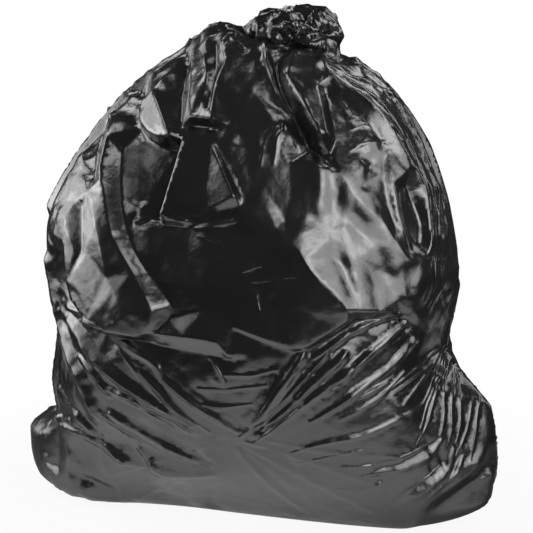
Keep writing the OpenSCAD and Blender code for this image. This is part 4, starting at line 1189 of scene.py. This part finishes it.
# Distances from the sack's middle, in metres, between which the floor turns white to the camera, and between
# which its painted pool of light fades: a glow that only the film's reflections see, bright near the sack;
# how far back the band of painted shade in that glow beside the sack lies, and the distances to both sides of
# it between which the painted glow returns
CLEAR_FLOOR = (0.36, 0.7)
PAINTED_POOL_FADE = (0.35, 1.1)
PAINTED_SHADE_BAND = 0.08
PAINTED_SHADE_REACH = (0.08, 0.24)


def smooth_range(tree, value, before, after):
    """Turns a value between two bounds into one between two others, smoothly."""
    inputs = {"Value": value, "From Min": before[0], "From Max": before[1], "To Min": after[0],
              "To Max": after[1]}
    return add_node(tree, "ShaderNodeMapRange", inputs, interpolation_type="SMOOTHSTEP")


def floor_material():
    """Pale sheet: white to the camera; in the film's reflections it glows, a painted pool of light that fades
    away from the sack, with a band of painted shade beside it.
    """
    material = bpy.data.materials.new("pale studio floor")
    material.use_nodes = True
    tree = material.node_tree
    tree.nodes.clear()
    place = add_node(tree, "ShaderNodeTexCoord").outputs["Object"]
    away = add_node(tree, "ShaderNodeVectorMath", {0: place}, operation="LENGTH").outputs["Value"]
    rays = add_node(tree, "ShaderNodeLightPath").outputs
    clear = smooth_range(tree, away, CLEAR_FLOOR, (0.92, 1.0))
    # Painted pool of light: the floor's glow in the film's reflections is full near the sack and fades away
    # from it
    painted_pool = smooth_range(tree, away, PAINTED_POOL_FADE, (1.0, 0.04))
    # Painted shade: the floor's glow in the film's reflections is dimmed in a band beside the sack
    ahead = add_node(tree, "ShaderNodeSeparateXYZ", {0: place}).outputs["Y"]
    beside = add_node(tree, "ShaderNodeMath", {0: ahead, 1: PAINTED_SHADE_BAND}, operation="SUBTRACT")
    apart = add_node(tree, "ShaderNodeMath", {0: beside.outputs[0]}, operation="ABSOLUTE")
    before = smooth_range(tree, apart.outputs[0], PAINTED_SHADE_REACH, (0.15, 1.0))
    # Strength of the floor's painted glow: the painted pool of light times the band of painted shade
    light = add_node(tree, "ShaderNodeMath", {0: painted_pool.outputs[0], 1: before.outputs[0]}, operation="MULTIPLY")
    paper = add_node(tree, "ShaderNodeBsdfDiffuse", {"Color": (0.8, 0.8, 0.8, 1)})
    white = add_node(tree, "ShaderNodeEmission", {"Color": (1, 1, 1, 1), "Strength": 1.0})
    # Emission seen only in the film's reflections, painted with that light and shade as its strength
    painted_floor_glow = add_node(tree, "ShaderNodeEmission", {"Color": (1, 1, 1, 1), "Strength": light.outputs[0]})
    camera_share = add_node(tree, "ShaderNodeMath", {0: clear.outputs[0], 1: rays["Is Camera Ray"]},
                            operation="MULTIPLY")
    seen = add_node(tree, "ShaderNodeMixShader", {0: camera_share.outputs[0], 1: paper.outputs[0],
                                                  2: white.outputs[0]})
    mirrored = add_node(tree, "ShaderNodeMath", {0: rays["Is Glossy Ray"], 1: rays["Is Transmission Ray"]},
                        operation="MAXIMUM")
    both = add_node(tree, "ShaderNodeMixShader", {0: mirrored.outputs[0], 1: seen.outputs[0],
                                                  2: painted_floor_glow.outputs[0]})
    add_node(tree, "ShaderNodeOutputMaterial", {"Surface": both.outputs[0]})
    return material


def make_floor(size):
    """The flat square that the sack stands on."""
    half = size / 2
    mesh = bpy.data.meshes.new("studio_floor")
    corners = [(-half, -half, 0), (half, -half, 0), (half, half, 0), (-half, half, 0)]
    mesh.from_pydata(corners, [], [(0, 1, 2, 3)])
    floor = bpy.data.objects.new("studio_floor", mesh)
    bpy.context.scene.collection.objects.link(floor)
    mesh.materials.append(floor_material())
    return floor


def make_world(settings):
    """White behind the sack, dim all round it."""
    world = bpy.data.worlds.new("studio room")
    world.use_nodes = True
    tree = world.node_tree
    tree.nodes.clear()
    rays = add_node(tree, "ShaderNodeLightPath").outputs
    dim = add_node(tree, "ShaderNodeBackground", {0: (settings.room,) * 3 + (1,)})
    white = add_node(tree, "ShaderNodeBackground", {0: (1, 1, 1, 1)})
    mix = add_node(tree, "ShaderNodeMixShader", {0: rays["Is Camera Ray"], 1: dim.outputs[0],
                                                 2: white.outputs[0]})
    add_node(tree, "ShaderNodeOutputWorld", {0: mix.outputs[0]})
    bpy.context.scene.world = world


# Softboxes: azimuth and height of their direction in degrees, distance and aim height, width and height in
# metres, and radiance, where 1 is white
SOFTBOXES = {
    "left_softbox": (-86.0, 12.0, 1.9, 0.36, 1.9, 1.35, 2.8),
    "right_softbox": (49.0, 14.0, 1.7, 0.42, 1.6, 1.35, 2.8),
    "left_fill": (-51.0, 24.0, 1.9, 0.36, 0.6, 0.9, 1.1),
    "right_softbox_core": (44.0, 18.0, 1.68, 0.42, 0.6, 0.5, 3.0),
    "left_softbox_core": (-84.0, 8.0, 1.88, 0.36, 0.7, 0.5, 3.0),
    "top_softbox": (-78.0, 50.0, 2.2, 0.50, 0.9, 0.7, 5.0),
    "back_softbox": (140.0, 45.0, 2.2, 0.50, 1.0, 0.8, 4.0),
    "right_strip": (122.0, 18.0, 2.0, 0.40, 0.45, 1.2, 2.4),
    "back_strip": (-150.0, 20.0, 2.0, 0.40, 0.9, 1.2, 2.0),
    "key_lamp": (60.0, 62.0, 2.0, 0.45, 0.8, 0.55, 3.2),
}


def make_softbox(name, azimuth, elevation, distance, aim, width, height, radiance, strength):
    """An area lamp that points at the sack's axis."""
    lamp = bpy.data.lights.new(name, "AREA")
    lamp.shape = "RECTANGLE"
    lamp.size, lamp.size_y = width, height
    lamp.energy = radiance * strength * math.pi * width * height
    box = bpy.data.objects.new(name, lamp)
    bpy.context.scene.collection.objects.link(box)
    away = Vector(direction(azimuth, elevation))
    box.location = Vector((0, 0, aim)) + away * distance
    box.rotation_euler = (-away).to_track_quat("-Z", "Y").to_euler()
    return box


def make_camera():
    """The photograph's viewing angle."""
    camera = bpy.data.cameras.new("camera")
    camera.lens = LENS
    camera.sensor_width = SENSOR
    camera.clip_end = 100
    view = bpy.data.objects.new("camera", camera)
    bpy.context.scene.collection.objects.link(view)
    away = Vector(direction(AZIMUTH, ELEVATION))
    middle = Vector(sack_centre()) / METRE
    view.location = Vector((0, 0, AIM_HEIGHT / METRE)) - middle + away * (DISTANCE / METRE)
    view.rotation_euler = (-away).to_track_quat("-Z", "Y").to_euler()
    bpy.context.scene.camera = view


class SackSettings(bpy.types.PropertyGroup):
    """Shape and finish of the film."""

    crease_height: bpy.props.FloatProperty(
        name="Crease height", description="Height of the large creases, times their drawn height",
        default=1.0, min=0.0, max=1.6)
    pleat_height: bpy.props.FloatProperty(
        name="Pleat height", description="Height of the narrow folds, times their drawn height",
        default=1.0, min=0.0, max=1.6)
    calm: bpy.props.FloatProperty(
        name="Uneven ground", description="Height of the shallow facets between the creases, in millimetres",
        default=0.5, min=0.0, max=4.0)
    calm_share: bpy.props.FloatProperty(
        name="Streaks on flat film", description="Share of the streaks that reaches film without folds",
        default=0.18, min=0.0, max=1.0, subtype="FACTOR")
    spare_film: bpy.props.FloatProperty(
        name="Spare film", description="Spare length across the folds, times the usual amount",
        default=1.0, min=0.0, max=3.0)
    gathers: bpy.props.IntProperty(
        name="Neck gathers", description="Number of gathers round the tied neck", default=26, min=8, max=60)
    colour: bpy.props.FloatVectorProperty(
        name="Film colour", description="Colour of the film", subtype="COLOR", size=3, min=0.0, max=1.0,
        default=(0.006, 0.006, 0.0064))
    roughness: bpy.props.FloatProperty(
        name="Film roughness", description="Roughness of the film's surface", default=0.19, min=0.05,
        max=0.6, subtype="FACTOR")
    crumple: bpy.props.FloatProperty(
        name="Fine crumples", description="Strength of the fine crumples in the film", default=0.5, min=0.0,
        max=1.0, subtype="FACTOR")


class StageSettings(bpy.types.PropertyGroup):
    """Floor and lamps."""

    floor_size: bpy.props.FloatProperty(
        name="Floor size", description="Side of the square floor", default=24.0, min=2.0, unit="LENGTH")
    lamp_strength: bpy.props.FloatProperty(
        name="Lamp strength", description="Strength of all softboxes", default=1.0, min=0.0, max=3.0)
    room: bpy.props.FloatProperty(
        name="Room light", description="Light of the dim room round the sack", default=0.06, min=0.0,
        max=1.0)


class MESH_OT_refuse_sack(bpy.types.Operator):
    """Makes the filled, tied sack of creased film"""

    bl_idname = "mesh.refuse_sack"
    bl_label = "Refuse sack"

    def execute(self, context):
        settings = context.scene.refuse_sack
        mesh = film_mesh("sack_film", settings)
        sack = bpy.data.objects.new("sack_film", mesh)
        context.scene.collection.objects.link(sack)
        mesh.materials.append(film_material(settings))
        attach(sack, "root")
        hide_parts("refuse_sack")
        return {"FINISHED"}


class OBJECT_OT_sack_stage(bpy.types.Operator):
    """Makes the floor, the room, the softboxes and the camera"""

    bl_idname = "object.sack_stage"
    bl_label = "Sack studio"

    def execute(self, context):
        settings = context.scene.sack_stage
        make_floor(settings.floor_size)
        make_world(settings)
        for name, values in SOFTBOXES.items():
            make_softbox(name, *values, settings.lamp_strength)
        make_camera()
        context.scene.view_settings.view_transform = "Standard"
        return {"FINISHED"}


class VIEW3D_PT_refuse_sack(bpy.types.Panel):
    """Lists the sack's settings and operators"""

    bl_idname = "VIEW3D_PT_refuse_sack"
    bl_label = "Refuse sack"
    bl_space_type = "VIEW_3D"
    bl_region_type = "UI"
    bl_category = "Sack"

    def draw(self, context):
        for group, operator in ((context.scene.refuse_sack, "mesh.refuse_sack"),
                                (context.scene.sack_stage, "object.sack_stage")):
            for name in group.__annotations__:
                self.layout.prop(group, name)
            self.layout.operator(operator)


CLASSES = (SackSettings, StageSettings, MESH_OT_refuse_sack, OBJECT_OT_sack_stage, VIEW3D_PT_refuse_sack)


def register():
    for item in CLASSES:
        bpy.utils.register_class(item)
    bpy.types.Scene.refuse_sack = bpy.props.PointerProperty(type=SackSettings)
    bpy.types.Scene.sack_stage = bpy.props.PointerProperty(type=StageSettings)


def unregister():
    del bpy.types.Scene.refuse_sack
    del bpy.types.Scene.sack_stage
    for item in reversed(CLASSES):
        bpy.utils.unregister_class(item)


def main():
    register()
    bpy.ops.mesh.refuse_sack()
    bpy.ops.object.sack_stage()


if __name__ == "__main__":
    main()
